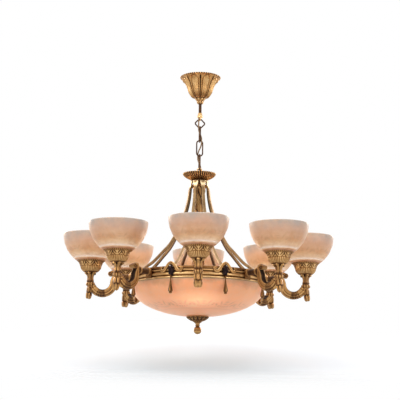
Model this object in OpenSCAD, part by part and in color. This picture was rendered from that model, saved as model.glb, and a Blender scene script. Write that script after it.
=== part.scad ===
// Glass chandelier with eight open shades, a glass bowl and a chain hanger.
// Millimetres. The origin is on the axis at the ceiling plane, +Z points up,
// and the lamp with number 1 faces -Y.

/* [Ceiling fixing] */
// Length of the ceiling bracket between the ends of its feet
bracket_len = 92; // [84:1:96]
// Width of the bracket strap
bracket_w = 20; // [14:1:24]
// Thickness of the bracket strap
bracket_t = 2.5; // [2:0.5:4]
// Distance from the ceiling to the underside of the bracket bridge
bracket_drop = 24; // [20:1:28]
// Length of the bracket bridge
bridge_len = 60; // [50:1:64]
// Distance between the two screw holes
hole_spacing = 76; // [74:1:80]
// Diameter of the screw holes
hole_d = 5.5; // [4:0.5:6.5]
// Outer diameter of the hanger rod
rod_d = 9; // [8:0.5:11]
// Bore of the hanger rod
rod_bore = 6; // [4:0.5:6.5]
// Distance from the ceiling to the top of the hanger rod
rod_top = 10; // [6:1:12]
// Height of each rod nut
rod_nut_h = 5; // [4:0.5:7]

/* [Canopy] */
// Diameter of the canopy rim
canopy_d = 118; // [114:1:130]
// Height of the canopy bell
canopy_h = 66; // [60:1:74]
// Wall of the canopy bell
canopy_t = 1.6; // [1.2:0.1:2.4]
// Depth of the lobes pressed into the bell
canopy_lobe = 1.6; // [0.8:0.1:2.2]
// Height of the collar under the bell
collar_h = 17; // [14:1:20]
// Diameter of the collar's top
collar_d = 28; // [26:1:32]
// How far the canopy can slide down the rod
canopy_travel = 25; // [10:1:28]

/* [Chain] */
// Diameter of the link wire
wire_d = 4; // [3.5:0.1:4.4]
// Length of a chain link between the centres of its end bows
link_len = 47; // [42:1:60]
// Width of a chain link between the centres of its sides
link_w = 18; // [17.5:0.5:22]
// Height of the lozenge link between the centres of its corners
lozenge_h = 28; // [26:1:36]
// Free gap between two linked wires
link_gap = 0.2; // [0.1:0.05:0.4]
// Diameter of the rod eye at the wire's centre
rod_eye_d = 12; // [11:0.5:14]
// Diameter of the top eye at the wire's centre
top_eye_d = 14; // [13:0.5:18]
// Visible length of the rod between the collar and the rod eye's drop
rod_free = 29; // [28:1:60]
// Diameter of the drop that closes the rod's end
drop_boss_d = 17; // [17:0.5:20]
// Turn of the whole chain about the vertical, in degrees
chain_turn = 10; // [0:1:20]
// Diameter of the flex
flex_d = 4; // [3.5:0.1:4]

/* [Column] */
// Diameter of the top dish
dish_d = 98; // [90:1:110]
// Height of the top dish
dish_h = 21; // [18:1:25]
// Wall of the top dish
dish_t = 2.2; // [1.8:0.1:3]
// Height of the capital
capital_h = 20; // [18:1:26]
// Width across the flats of the capital's eight-sided plate
capital_flats = 49; // [46:1:58]
// Diameter of the column over its flutes
column_d = 36; // [32:1:42]
// Length of the column
column_len = 283; // [260:1:320]
// Depth of the column's flutes
column_flute = 3; // [1:0.5:4]
// Turn of the flutes from the top to the foot, in degrees
column_twist = 150; // [90:10:220]
// Outer diameter of the centre tube
tube_d = 13; // [12:0.5:15]
// Bore of the centre tube
tube_bore = 8.2; // [8.2:0.1:9]

/* [Braces] */
// Width of a brace strap
brace_w = 11; // [9:1:14]
// Thickness of a brace strap
brace_t = 5; // [4:0.5:6]
// Diameter of the rolled top of a brace
brace_roll_d = 13; // [12:0.5:14]

/* [Ring] */
// Radius of the ring's outer wall behind its beads
ring_r = 190; // [186:1:196]
// Height of the ring
ring_h = 34; // [32:1:38]
// Wall of the ring
ring_t = 3; // [2.5:0.5:4]
// Width of the ring's top flange
flange_w = 14; // [12:1:20]
// Radius of the ring's beads
bead_r = 5; // [4:0.5:6]
// Thickness of the spider strip
spider_t = 3; // [2:0.5:4]
// Width of the spider strip
spider_w = 16; // [14:1:20]
// Diameter of the ring screws
screw_d = 5; // [4:0.5:5.5]

/* [Glass bowl] */
// Distance that the bowl stands out past the ring's wall
bowl_over = 4; // [2:0.5:6]
// Depth of the bowl below its widest line
bowl_depth = 84.5; // [75:0.5:95]
// Thickness of the bowl glass
bowl_t = 5; // [4:0.5:6]
// Diameter of the bowl rod
bowl_rod_d = 8; // [7:0.5:8]
// Diameter of the bowl cap
cap_d = 65; // [58:1:72]
// Height of the bowl cap
cap_h = 19.5; // [17:0.5:24]
// Height of the finial
finial_h = 32.5; // [28:0.5:40]
// Diameter of the finial ball
finial_d = 23; // [20:0.5:26]

/* [Arms] */
// Radius of the circle through the eight lamp axes
lamp_circle_r = 315; // [310:1:330]
// Radius of the scroll's big bow at its centreline
scroll_r = 31; // [29:1:34]
// Width of the scroll bar
scroll_w = 18; // [14:1:20]
// Thickness of the scroll bar at its foot, without its bead
scroll_t = 15; // [12:0.5:16]
// Radius of the bead along the scroll's outside
scroll_bead = 5; // [4:0.5:6]
// Diameter of the small roll at the scroll's upper end
scroll_roll_d = 14; // [12:0.5:15]
// Diameter of the stub between the ring and the scroll
stub_d = 17; // [14:0.5:20]
// Height of the leaf socket under a cup
socket_h = 27; // [25:1:30]
// Length of the leaf drop under the knot
leaf_drop = 35; // [28:1:40]
// Diameter of the threaded stud that holds the cup and lampholder
stud_d = 10; // [9:0.5:10]

/* [Cups and shades] */
// Diameter of a cup's rim
cup_d = 82; // [80:1:86]
// Height of a cup
cup_h = 36; // [34:1:40]
// Wall of a cup
cup_t = 1.6; // [1.2:0.1:2]
// Largest diameter of a shade
shade_d = 163; // [150:1:180]
// Height of a shade above the cup's rim
shade_h = 79.5; // [75:0.5:95]
// Thickness of the shade glass
shade_t = 3.5; // [3:0.5:4.5]

/* [Lamps] */
// Outer diameter of a lampholder
holder_d = 30; // [28:1:31]
// Height of a lampholder
holder_h = 46; // [42:1:50]
// Diameter of the bulb in a shade
lamp_d = 45; // [40:1:50]
// Length of the bulb in a shade
lamp_len = 76; // [70:1:80]
// Diameter of a bulb in the bowl
bowl_lamp_d = 48; // [42:1:48]
// Length of a bulb in the bowl
bowl_lamp_len = 90; // [80:1:100]

/* [Bows] */
// Width of a bow ornament
bow_w = 72; // [64:1:80]
// Height of a bow ornament
bow_h = 28; // [24:1:32]
// Width of the bow's band
bow_band = 6.5; // [5:0.5:7]
// Depth of a bow
bow_t = 8; // [6:0.5:10]
// Width of a rosette block
rosette_w = 19; // [16:1:20]
// Depth of a rosette block
rosette_t = 13; // [11:0.5:16]
// Length of a turned drop
drop_len = 50; // [42:1:56]
// Largest diameter of a turned drop
drop_d = 12.5; // [10:0.5:13]

/* [Hidden] */
lamp_count = 8;
lamp_step = 360 / lamp_count;
$fn = 48;

brass = [0.70, 0.52, 0.29];
dark_brass = [0.42, 0.29, 0.17];
steel = [0.62, 0.62, 0.63];
alabaster = [0.94, 0.80, 0.68];
porcelain = [0.93, 0.92, 0.88];
lamp_glass = [0.98, 0.95, 0.86];
rubber = [0.15, 0.14, 0.13];

// Clearances
slide_gap = 0.1;
turn_gap = 0.3;
thread_gap = 0.05;
seat_gap = 0.2;

// Levels below the ceiling
canopy_bottom = -canopy_h;
collar_bottom = canopy_bottom - collar_h;
boss_top = collar_bottom - rod_free;
boss_h = 13.5;
boss_bottom = boss_top - boss_h;
rod_bottom = boss_top - 6;
wire_r = wire_d / 2;
link_drop = wire_d + link_gap;
rod_eye_z = boss_bottom - 2.5;
pivot_lozenge = rod_eye_z - rod_eye_d / 2;
lozenge_top = pivot_lozenge + link_drop;
pivot_link_1 = lozenge_top - lozenge_h;
link_1_top = pivot_link_1 + link_drop;
pivot_link_2 = link_1_top - link_len;
link_2_top = pivot_link_2 + link_drop;
pivot_link_3 = link_2_top - link_len;
link_3_top = pivot_link_3 + link_drop;
pivot_body = link_3_top - link_len;
top_eye_z = pivot_body + link_drop - top_eye_d / 2;
neck_top = top_eye_z - top_eye_d / 2 - 1.5;
dish_rim = neck_top + 0.5;
dish_floor = dish_rim - dish_h + dish_t;
dish_bottom = dish_rim - dish_h;
tube_top = dish_rim - 3;
capital_bottom = dish_bottom - capital_h;
column_bottom = capital_bottom - column_len;
spider_z = column_bottom - spider_t;
tube_nut_h = 9;
tube_bottom = spider_z - tube_nut_h - 1;
screw_rise = 11;
ring_screw_z = column_bottom + screw_rise;
ring_top = ring_screw_z + 12;
ring_bottom = ring_top - ring_h;
gasket_t = 1.5;
bowl_r = ring_r + bowl_over;
bowl_top = ring_bottom - gasket_t;
bowl_widest = bowl_top - 4.5;
bowl_flat_r = 24;
bowl_bottom = bowl_widest - bowl_depth * sqrt(1 - pow(bowl_flat_r / bowl_r, 2));
washer_t = 1.5;
cap_floor = bowl_bottom - washer_t;
cap_bottom = bowl_bottom - cap_h;
finial_top = cap_bottom - turn_gap;
finial_bottom = finial_top - finial_h;
bowl_rod_top = tube_bottom + 28;
bowl_rod_bottom = finial_top - 13;
cluster_h = 30;
cluster_bottom = tube_bottom - cluster_h;
bowl_lamp_z = tube_bottom - cluster_h / 2;
bowl_lamp_x = 20;

// Arm layout in the plane of one arm: x is the distance from the axis
arm_z = ring_screw_z;
bow_x = lamp_circle_r - 36;
arm_seat = ring_r + bead_r;
base_t = 4;
leg_x = bow_x - scroll_r;
bow_z = arm_z - 16;
curl_t = 6;
curl_x = leg_x - 4;
curl_r = 6.5;
curl_z = arm_z + 9;
roll_x = curl_x + 2 * curl_r;
scroll_end = 340;
knot_h = 15;
knot_z = arm_z - 22;
knot_top = knot_z + knot_h / 2;
socket_top = knot_top + socket_h;
cup_bottom = socket_top;
cup_rim = cup_bottom + cup_h;
cup_floor = cup_bottom + cup_t;
stud_top = cup_floor + 11;
shade_floor = cup_rim - cup_h * 0.4;
shade_top = cup_rim + shade_h;
clamp_z = shade_floor + shade_t;

// Small parts and seats
lozenge_corner = 5;
lozenge_side = round((lozenge_h / 2 - lozenge_corner) / sqrt(2) * 100) / 100;
grub_d = 3;
plate_t = 4;
head_h = 3;
screw_into_arm = 12;
brace_screw_x = ring_r - 8;
ring_in = ring_r - bead_r - 0.1;
tab_x = sqrt(pow(ring_in, 2) - pow(spider_w / 2, 2));
lamp_seat = 18;
lamp_cap_d = 26;
bow_top = ring_top + 12;
rosette_top = bow_top - bow_band - 2.6;
rosette_bottom = ring_bottom + 5.5;
rosette_x = sqrt(pow(arm_seat, 2) - pow(rosette_w / 4, 2)) + 0.2;
drop_x = rosette_x + rosette_t * 0.3 + 1;
// Points of the flex: x, y and the distance below the drop
flex_points = [
    [-4.4, -4.4, 0], [-4.4, -4.4, 8], [-4.5, -4.5, 18], [-4.6, -4.4, 30], [-4.2, -4.4, 40],
    [-1.5, -4.4, 48], [1.5, -4.4, 55], [4.2, -4.4, 63], [4.6, -4.4, 72], [4.4, -3.8, 82],
    [2, -1.5, 92], [-2, 1.5, 101], [-4.4, 3.8, 111], [-4.6, 4.4, 120], [-4.2, 4.4, 128],
    [-1.5, 4.4, 136], [1.5, 4.4, 143], [4.2, 4.4, 151], [4.5, 4.5, 161]];

// A smooth curve through a few points, with n steps between neighbours
function spline_at(a, b, c, d, t) = 0.5 * (2 * b + (c - a) * t + (2 * a - 5 * b + 4 * c - d) * t * t
    + (3 * b - a - 3 * c + d) * t * t * t);
function smooth(p, n = 3) = let (last = len(p) - 1) concat(
    [for (i = [0:last - 1]) for (k = [0:n - 1])
        spline_at(p[max(i - 1, 0)], p[i], p[i + 1], p[min(i + 2, last)], k / n)],
    [p[last]]);
function reversed(p) = [for (i = [len(p) - 1:-1:0]) p[i]];
function unit(v) = v / norm(v);
function along(p, i) = unit(p[min(i + 1, len(p) - 1)] - p[max(i - 1, 0)]);
// The curve moved sideways by t, to the left of its direction
function shifted(p, t) = [for (i = [0:len(p) - 1]) let (d = along(p, i)) p[i] + t * [-d[1], d[0]]];
// A band of thickness t round a flat curve
function band(p, t) = concat(shifted(p, t / 2), reversed(shifted(p, -t / 2)));
function arc(centre, r, from, to, n) = [for (i = [0:n]) let (a = from + (to - from) * i / n)
    centre + r * [cos(a), sin(a)]];

module revolve(p) rotate_extrude() polygon(p);

// Rings of points round the axis along a line of radius and height. The radius dips between
// the lobes by the dip at each point, and the lobes turn by twist degrees from top to bottom.
function lobe_points(line, dips, lobes, steps, twist) = let (
        heights = [for (q = line) q[1]],
        top = max(heights),
        span = top - min(heights)
    ) [for (k = [0:lobes * steps - 1]) for (j = [0:len(line) - 1]) let (
        turn = 360 * k / (lobes * steps),
        r = line[j][0] - dips[j] * (1 - abs(sin(turn * lobes / 2))),
        lean = turn + twist * (top - line[j][1]) / span
    ) [r * cos(lean), r * sin(lean), line[j][1]]];
// Triangles between ring k and the next one, for the first rows points of each
function lobe_faces(count, rows, total) = [for (k = [0:total - 1]) for (j = [0:rows - 1]) let (
        a = k * count + j,
        b = k * count + (j + 1) % count,
        c = ((k + 1) % total) * count + (j + 1) % count,
        d = ((k + 1) % total) * count + j
    ) each [[a, b, c], [a, c, d]]];

// A lobed shell from a closed section, and a solid lobed bar from an open line that runs down
module lobed(loop, dips, lobes, steps)
    polyhedron(lobe_points(loop, dips, lobes, steps, 0), lobe_faces(len(loop), len(loop), lobes * steps));
module fluted(line, dips, lobes, steps, twist) {
    count = len(line);
    total = lobes * steps;
    polyhedron(lobe_points(line, dips, lobes, steps, twist), concat(lobe_faces(count, count - 1, total),
        [[for (k = [total - 1:-1:0]) k * count], [for (k = [0:total - 1]) k * count + count - 1]]));
}

// A tube with flat ends swept along a smooth curve in space
module swept(route, r, sides) {
    count = len(route);
    points = [for (i = [0:count - 1]) let (
        d = (i == 0 || i == count - 1) ? [0, 0, -1] : unit(route[i + 1] - route[i - 1]),
        u = unit(cross(d, [0, 1, 0.2])),
        v = cross(d, u)
    ) for (k = [0:sides - 1]) let (a = 360 * k / sides) route[i] + r * (cos(a) * u + sin(a) * v)];
    sides_faces = [for (i = [0:count - 2]) for (k = [0:sides - 1]) let (
        a = i * sides + k,
        b = i * sides + (k + 1) % sides
    ) each [[a, a + sides, b + sides], [a, b + sides, b]]];
    ends = [[for (k = [0:sides - 1]) k], [for (k = [sides - 1:-1:0]) (count - 1) * sides + k]];
    polyhedron(points, concat(sides_faces, ends));
}

// Places its children at a lamp, with x pointing outwards, or between two lamps
module at_lamp(i) rotate([0, 0, lamp_step * (i - 1) - 90]) children();
module at_brace(i) rotate([0, 0, lamp_step * (i - 0.5) - 90]) children();
module in_chain() rotate([0, 0, chain_turn]) children();
// Turns a flat outline of distance and height upright, centred on the arm's plane
module upright(w) rotate([90, 0, 0]) translate([0, 0, -w / 2]) linear_extrude(w) children();

module ceiling_bracket() color(steel) difference() {
    union() {
        for (side = [-1, 1]) {
            translate([side * (bridge_len + bracket_len) / 4, 0, -bracket_t / 2])
                cube([(bracket_len - bridge_len) / 2, bracket_w, bracket_t], center = true);
            translate([side * (bridge_len - bracket_t) / 2, 0, -bracket_drop / 2])
                cube([bracket_t, bracket_w, bracket_drop], center = true);
        }
        translate([0, 0, bracket_t / 2 - bracket_drop])
            cube([bridge_len, bracket_w, bracket_t], center = true);
    }
    for (side = [-1, 1])
        translate([side * hole_spacing / 2, 0, -bracket_t - 1]) cylinder(d = hole_d, h = bracket_t + 2);
    translate([0, 0, -bracket_drop - 1]) cylinder(d = rod_d + 2 * thread_gap, h = bracket_t + 2);
}

module hex_nut(across, bore, h) difference() {
    cylinder(d = across / cos(30), h = h, $fn = 6);
    translate([0, 0, -1]) cylinder(d = bore, h = h + 2);
}

module rod_nuts() color(steel) for (z = [bracket_t - bracket_drop, -bracket_drop - rod_nut_h])
    translate([0, 0, z]) hex_nut(rod_d * 1.7, rod_d + 2 * thread_gap, rod_nut_h);

module hanger_rod() color(brass) translate([0, 0, rod_bottom]) difference() {
    cylinder(d = rod_d, h = -rod_top - rod_bottom);
    translate([0, 0, -1]) cylinder(d = rod_bore, h = -rod_top - rod_bottom + 2);
}

// Upright ring of wire in the plane of x and z
module wire_eye(d, z) translate([0, 0, z]) rotate([90, 0, 0])
    rotate_extrude() translate([d / 2, 0]) circle(d = wire_d);

module rod_eye() color(brass) in_chain() {
    r = drop_boss_d / 2;
    difference() {
        union() {
            revolve(concat([[0, boss_bottom], [0, boss_top]], smooth([
                [rod_d / 2 + 1.2, boss_top],
                [rod_d / 2 + 1.8, boss_top - 3],
                [r - 1.2, boss_bottom + 6],
                [r, boss_bottom + 3],
                [r, boss_bottom]])));
            rotate([0, 0, 90]) wire_eye(rod_eye_d, rod_eye_z);
        }
        translate([0, 0, rod_bottom]) cylinder(d = rod_d + 2 * thread_gap, h = boss_h);
    }
}

module canopy() color(brass) {
    r = canopy_d / 2;
    neck_r = collar_d / 2 - 5;
    outer = smooth([
        [r, 0],
        [r + 0.3, -3.5],
        [r - 6, -9],
        [r * 0.745, -canopy_h * 0.32],
        [r * 0.645, -canopy_h * 0.52],
        [r * 0.575, -canopy_h * 0.72],
        [r * 0.43, -canopy_h * 0.91],
        [r * 0.30, canopy_bottom]], 2);
    inner = concat([[neck_r, canopy_bottom], [neck_r, canopy_bottom + canopy_t]], reversed([
        [r - canopy_t - 2, 0],
        [r - canopy_t - 7.5, -9],
        [r * 0.745 - canopy_t - 2, -canopy_h * 0.32],
        [r * 0.62 - canopy_t - 2, -canopy_h * 0.52],
        [r * 0.545 - canopy_t - 2, -canopy_h * 0.70],
        [r * 0.38 - canopy_t - 2, -canopy_h * 0.89]]));
    lobed(concat(outer, inner), concat(
        [for (q = outer) q[0] > r * 0.31 ? canopy_lobe : 0], [for (q = inner) 0]), 16, 3);
}

module canopy_collar() color(brass) difference() {
    r = collar_d / 2;
    revolve(concat([[0, collar_bottom], [0, canopy_bottom]], smooth([
        [r, canopy_bottom],
        [r + 0.6, canopy_bottom - collar_h * 0.12],
        [r - 2, canopy_bottom - collar_h * 0.35],
        [r - 4.6, canopy_bottom - collar_h * 0.55],
        [r - 4.4, canopy_bottom - collar_h * 0.75],
        [rod_d / 2 + 2.5, collar_bottom]])));
    translate([0, 0, collar_bottom - 1]) cylinder(r = rod_d / 2 + slide_gap, h = collar_h + 2);
    translate([0, 0, canopy_bottom - collar_h / 2]) rotate([-90, 0, 0])
        cylinder(d = grub_d + 2 * thread_gap, h = r + 5);
}

module grub_screw() color(steel) translate([0, rod_d / 2 + slide_gap, canopy_bottom - collar_h / 2])
    rotate([-90, 0, 0]) cylinder(d = grub_d, h = 8);

// A square of wire with round corners, turned onto one corner
module lozenge_link() color(brass) in_chain()
    translate([0, 0, lozenge_top - lozenge_h / 2]) rotate([0, 45, 0]) for (a = [0:90:270]) rotate([0, a, 0]) {
        translate([lozenge_side, 0, lozenge_side]) rotate([90, 0, 0])
            rotate_extrude(angle = 90) translate([lozenge_corner, 0]) circle(d = wire_d);
        translate([lozenge_side + lozenge_corner, 0, -lozenge_side]) cylinder(d = wire_d, h = 2 * lozenge_side);
    }

// One chain link in the plane of x and z, hanging from the height of its top bow
module chain_link(top) {
    bow = link_w / 2;
    for (end = [0, 1]) translate([0, 0, top - bow - end * (link_len - link_w)])
        rotate([90, 180 * end, 0]) rotate_extrude(angle = 180) translate([bow, 0]) circle(d = wire_d);
    for (side = [-1, 1]) translate([side * bow, 0, top - link_len + bow])
        cylinder(d = wire_d, h = link_len - link_w);
}
module chain_link_1() color(brass) in_chain() rotate([0, 0, 90]) chain_link(link_1_top);
module chain_link_2() color(brass) in_chain() chain_link(link_2_top);
module chain_link_3() color(brass) in_chain() rotate([0, 0, 90]) chain_link(link_3_top);

// The flex leaves the drop's underside, passes through each chain link and ends on the neck
module flex() color(dark_brass) in_chain() swept(concat(
    [for (q = flex_points) [q[0], q[1], boss_bottom - q[2]]], [[4.4, 4.4, neck_top]]), flex_d / 2, 8);

module top_eye() color(brass) in_chain() difference() {
    union() {
        revolve(concat([[0, dish_floor], [0, neck_top]], smooth([
            [9, neck_top],
            [9, neck_top - 3],
            [tube_d / 2 + 1.5, neck_top - 6],
            [tube_d / 2 + 2, dish_floor + 5],
            [tube_d / 2 + 5, dish_floor]])));
        wire_eye(top_eye_d, top_eye_z);
    }
    translate([0, 0, dish_floor - 1]) cylinder(r = tube_d / 2 + thread_gap, h = tube_top - dish_floor + 1);
}

module top_dish() color(brass) {
    r = dish_d / 2;
    bore = tube_d / 2 + seat_gap;
    outer = [[r, dish_rim], [r, dish_rim - 3], [r * 0.92, dish_rim - dish_h * 0.5],
        [r * 0.73, dish_rim - dish_h * 0.78], [r * 0.5, dish_rim - dish_h * 0.95], [r * 0.36, dish_bottom]];
    inner = [[bore, dish_bottom], [bore, dish_floor], [r * 0.44, dish_floor],
        [r * 0.7, dish_rim - dish_h * 0.64], [r * 0.87, dish_rim - dish_h * 0.42], [r - 5.5, dish_rim]];
    lobed(concat(outer, inner), [2.6, 2.6, 2.4, 1.8, 0.8, 0, 0, 0, 0, 0, 0, 0], 24, 3);
}

// The eight-sided plate of the capital carries the flat backs of the braces
module capital() color(brass) difference() {
    union() {
        revolve(concat([[0, capital_bottom], [0, dish_bottom]], smooth([
            [column_d * 0.38, dish_bottom],
            [column_d * 0.42, dish_bottom - 2],
            [column_d * 0.36, dish_bottom - capital_h * 0.35],
            [column_d * 0.38, capital_bottom + plate_t + 2],
            [column_d * 0.5, capital_bottom + plate_t],
            [column_d * 0.5, capital_bottom]])));
        translate([0, 0, capital_bottom])
            cylinder(d = capital_flats / cos(22.5), h = plate_t, $fn = 8);
    }
    translate([0, 0, capital_bottom - 1]) cylinder(r = tube_d / 2 + seat_gap, h = capital_h + 2);
}

module column() color(brass) difference() {
    rows = 18;
    r = column_d / 2;
    line = concat([[r, capital_bottom], [r, capital_bottom - 6]],
        [for (i = [0:rows]) let (t = i / rows)
            [r - 1 + 0.8 * cos(720 * t), capital_bottom - 8 - t * (column_len - 20)]],
        [[r + 1, column_bottom + 8], [r + 3, column_bottom + 3], [r + 3, column_bottom]]);
    dips = concat([0, 0], [for (i = [0:rows]) (i == 0 || i == rows) ? column_flute / 2 : column_flute],
        [0, 0, 0]);
    fluted(line, dips, 6, 5, column_twist);
    translate([0, 0, column_bottom - 1]) cylinder(r = tube_d / 2 + seat_gap, h = column_len + 2);
}

module centre_tube() color(steel) translate([0, 0, tube_bottom]) difference() {
    cylinder(d = tube_d, h = tube_top - tube_bottom);
    translate([0, 0, -1]) cylinder(d = tube_bore, h = tube_top - tube_bottom + 2);
}

module tube_nut() color(steel) translate([0, 0, spider_z - tube_nut_h])
    hex_nut(tube_d * 1.6, tube_d + 2 * thread_gap, tube_nut_h);

// Side view of a brace: rolled top, straight flank at the capital, long bow, flat foot
brace_face = capital_flats / 2 + brace_t / 2;
roll_r = (brace_roll_d - brace_t) / 2;
brace_rise = capital_bottom - ring_top;
brace_curve = concat(
    arc([brace_face - roll_r, dish_bottom - 0.6 - brace_roll_d / 2], roll_r, 255, 0, 10),
    smooth([
        [brace_face, capital_bottom - 2],
        [brace_face + 1.2, capital_bottom - brace_rise * 0.073],
        [brace_face + 3.6, capital_bottom - brace_rise * 0.142],
        [brace_face + 10.4, capital_bottom - brace_rise * 0.258],
        [brace_face + 26, capital_bottom - brace_rise * 0.43],
        [brace_face * 0.35 + ring_r * 0.397, ring_top + brace_rise * 0.335],
        [brace_face * 0.2 + ring_r * 0.559, ring_top + brace_rise * 0.215],
        [brace_face * 0.1 + ring_r * 0.722, ring_top + brace_rise * 0.1],
        [ring_r * 0.85, ring_top + brace_rise * 0.042],
        [ring_r * 0.91, ring_top + brace_t / 2 + 1.2]], 2),
    [[ring_r * 0.93, ring_top + brace_t / 2], [ring_r * 0.935, ring_top + brace_t / 2],
     [ring_r + 2, ring_top + brace_t / 2]]);
module braces() color(brass) for (i = [1:lamp_count]) at_brace(i) difference() {
    upright(brace_w) polygon(band(brace_curve, brace_t));
    translate([brace_screw_x, 0, ring_top - 1]) cylinder(d = screw_d + 2 * thread_gap, h = brace_t + 3);
}

// The ring is a rolled channel: flange on top, beaded wall, lip below
module ring() color(brass) difference() {
    translate([0, 0, ring_bottom]) rotate_extrude() union() {
        translate([ring_r - ring_t, 0]) square([ring_t, ring_h]);
        translate([ring_r - flange_w, ring_h - ring_t]) square([flange_w, ring_t]);
        translate([ring_r - 6, 0]) square([6 + bead_r * 0.5, ring_t]);
        for (z = [bead_r * 0.8 + 1, ring_h * 0.5, ring_h - bead_r * 1.6 - 1])
            translate([ring_r, z]) circle(r = bead_r);
    }
    for (i = [1:lamp_count]) {
        at_lamp(i) translate([ring_r - flange_w, 0, ring_screw_z]) rotate([0, 90, 0])
            cylinder(d = screw_d + 2 * thread_gap, h = flange_w + 2 * bead_r);
        at_brace(i) translate([brace_screw_x, 0, ring_top - ring_t - 1])
            cylinder(d = screw_d + 2 * thread_gap, h = ring_t + 2);
    }
}

module spider() color(steel) difference() {
    union() {
        translate([0, 0, spider_z]) cylinder(d = column_d + 16, h = spider_t);
        for (i = [1:2:lamp_count]) at_lamp(i) {
            translate([tube_d, -spider_w / 2, spider_z]) cube([tab_x - tube_d, spider_w, spider_t]);
            translate([tab_x - spider_t, -spider_w / 2, spider_z])
                cube([spider_t, spider_w, ring_screw_z - spider_z + 7]);
        }
    }
    translate([0, 0, spider_z - 1]) cylinder(r = tube_d / 2 + thread_gap, h = spider_t + 2);
    for (i = [1:2:lamp_count]) at_lamp(i) translate([tab_x - spider_t - 1, 0, ring_screw_z])
        rotate([0, 90, 0]) cylinder(d = screw_d + 2 * thread_gap, h = spider_t + 2);
}

module pan_screw(length) {
    translate([0, 0, -head_h]) cylinder(d = screw_d * 1.8, h = head_h);
    cylinder(d = screw_d, h = length);
}
module ring_screws() color(steel) for (i = [1:lamp_count]) {
    seat = i % 2 == 1 ? tab_x - spider_t : sqrt(pow(ring_in, 2) - pow(screw_d * 0.9, 2));
    at_lamp(i) translate([seat, 0, ring_screw_z]) rotate([0, 90, 0])
        pan_screw(arm_seat + screw_into_arm - seat - 1);
    at_brace(i) translate([brace_screw_x, 0, ring_top + brace_t]) rotate([180, 0, 0])
        pan_screw(brace_t + ring_t + 1);
}

module bowl_rod() color(brass) translate([0, 0, bowl_rod_bottom])
    cylinder(d = bowl_rod_d, h = bowl_rod_top - bowl_rod_bottom);

// The three places round the bowl rod that carry a lampholder, with z pointing outwards
module at_bowl_lamp() for (a = [30, 150, 270]) rotate([0, 0, a])
    translate([bowl_lamp_x, 0, bowl_lamp_z]) rotate([0, 90, 0]) children();

module lamp_cluster() color(brass) difference() {
    union() {
        translate([0, 0, cluster_bottom]) cylinder(d = 32, h = cluster_h);
        at_bowl_lamp() translate([0, 0, -10]) cylinder(d = 18, h = 10);
        at_bowl_lamp() translate([0, 0, -1]) cylinder(d = stud_d, h = 10);
    }
    translate([0, 0, cluster_bottom - 1]) cylinder(d = bowl_rod_d + 2 * thread_gap, h = cluster_h + 2);
}

// A lampholder stands on its stud, and the bulb's cap sits inside it
module lampholder() difference() {
    union() {
        cylinder(d = holder_d * 0.72, h = 8);
        translate([0, 0, 6]) cylinder(d = holder_d, h = holder_h - 6);
    }
    translate([0, 0, -1]) cylinder(d = stud_d + 2 * thread_gap, h = 12);
    translate([0, 0, lamp_seat]) cylinder(d = lamp_cap_d + 2 * thread_gap, h = holder_h);
}
module bulb(d, length) translate([0, 0, lamp_seat]) {
    r = d / 2;
    revolve(concat([[0, 0]], [[lamp_cap_d / 2 - 4, 0], [lamp_cap_d / 2, 4], [lamp_cap_d / 2, holder_h - lamp_seat]],
        smooth([
            [lamp_cap_d / 2 + 0.2, holder_h - lamp_seat + 1],
            [lamp_cap_d * 0.25 + r * 0.6, length - d * 0.86],
            [r * 0.97, length - d * 0.64],
            [r, length - d * 0.5],
            [r * 0.87, length - d * 0.24],
            [r * 0.5, length - d * 0.065],
            [0.01, length]]), [[0, length]]));
}
module bowl_lampholders() color(porcelain) at_bowl_lamp() lampholder();
module bowl_lamps() color(lamp_glass) at_bowl_lamp() bulb(bowl_lamp_d, bowl_lamp_len);

module bowl_gasket() color(rubber) translate([0, 0, bowl_top]) difference() {
    cylinder(r = bowl_r - 1, h = gasket_t);
    translate([0, 0, -1]) cylinder(r = bowl_r - bowl_t, h = gasket_t + 2);
}

// Half an ellipse from the widest line to the flat, and the same line inside the glass
function bowl_line(r, depth, flat) = [for (i = [0:24]) let (a = (90 - asin(flat / r)) * i / 24)
    [r * cos(a), bowl_widest - depth * sin(a)]];
module bowl() color(alabaster) difference() {
    outer = bowl_line(bowl_r, bowl_depth, bowl_flat_r);
    inner = bowl_line(bowl_r - bowl_t, bowl_depth - bowl_t, bowl_flat_r - 6);
    revolve(concat([[bowl_r - 0.6, bowl_top]], outer, [[0, outer[24][1]], [0, inner[24][1]]],
        reversed(inner), [[bowl_r - bowl_t, bowl_top]]));
    translate([0, 0, bowl_bottom - 1]) cylinder(d = bowl_rod_d + 4, h = bowl_t + 4);
}

module bowl_washer() color(rubber) translate([0, 0, cap_floor]) difference() {
    cylinder(r = bowl_flat_r - 2, h = washer_t);
    translate([0, 0, -1]) cylinder(d = bowl_rod_d + 0.4, h = washer_t + 2);
}

module bowl_cap() color(brass) {
    r = cap_d / 2;
    bore = bowl_rod_d / 2 + seat_gap;
    rim = bowl_bottom - 0.3;
    outer = [[r, rim], [r + 0.4, rim - cap_h * 0.14], [r * 0.9, rim - cap_h * 0.36],
        [r * 0.66, rim - cap_h * 0.6], [r * 0.42, rim - cap_h * 0.76], [r * 0.25, cap_bottom]];
    inner = [[bore, cap_bottom], [bore, cap_floor], [bowl_flat_r - 1.5, cap_floor], [bowl_flat_r - 1, rim]];
    lobed(concat(outer, inner), [1.6, 1.6, 1.8, 1.2, 0.6, 0, 0, 0, 0, 0], 16, 3);
}

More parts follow.
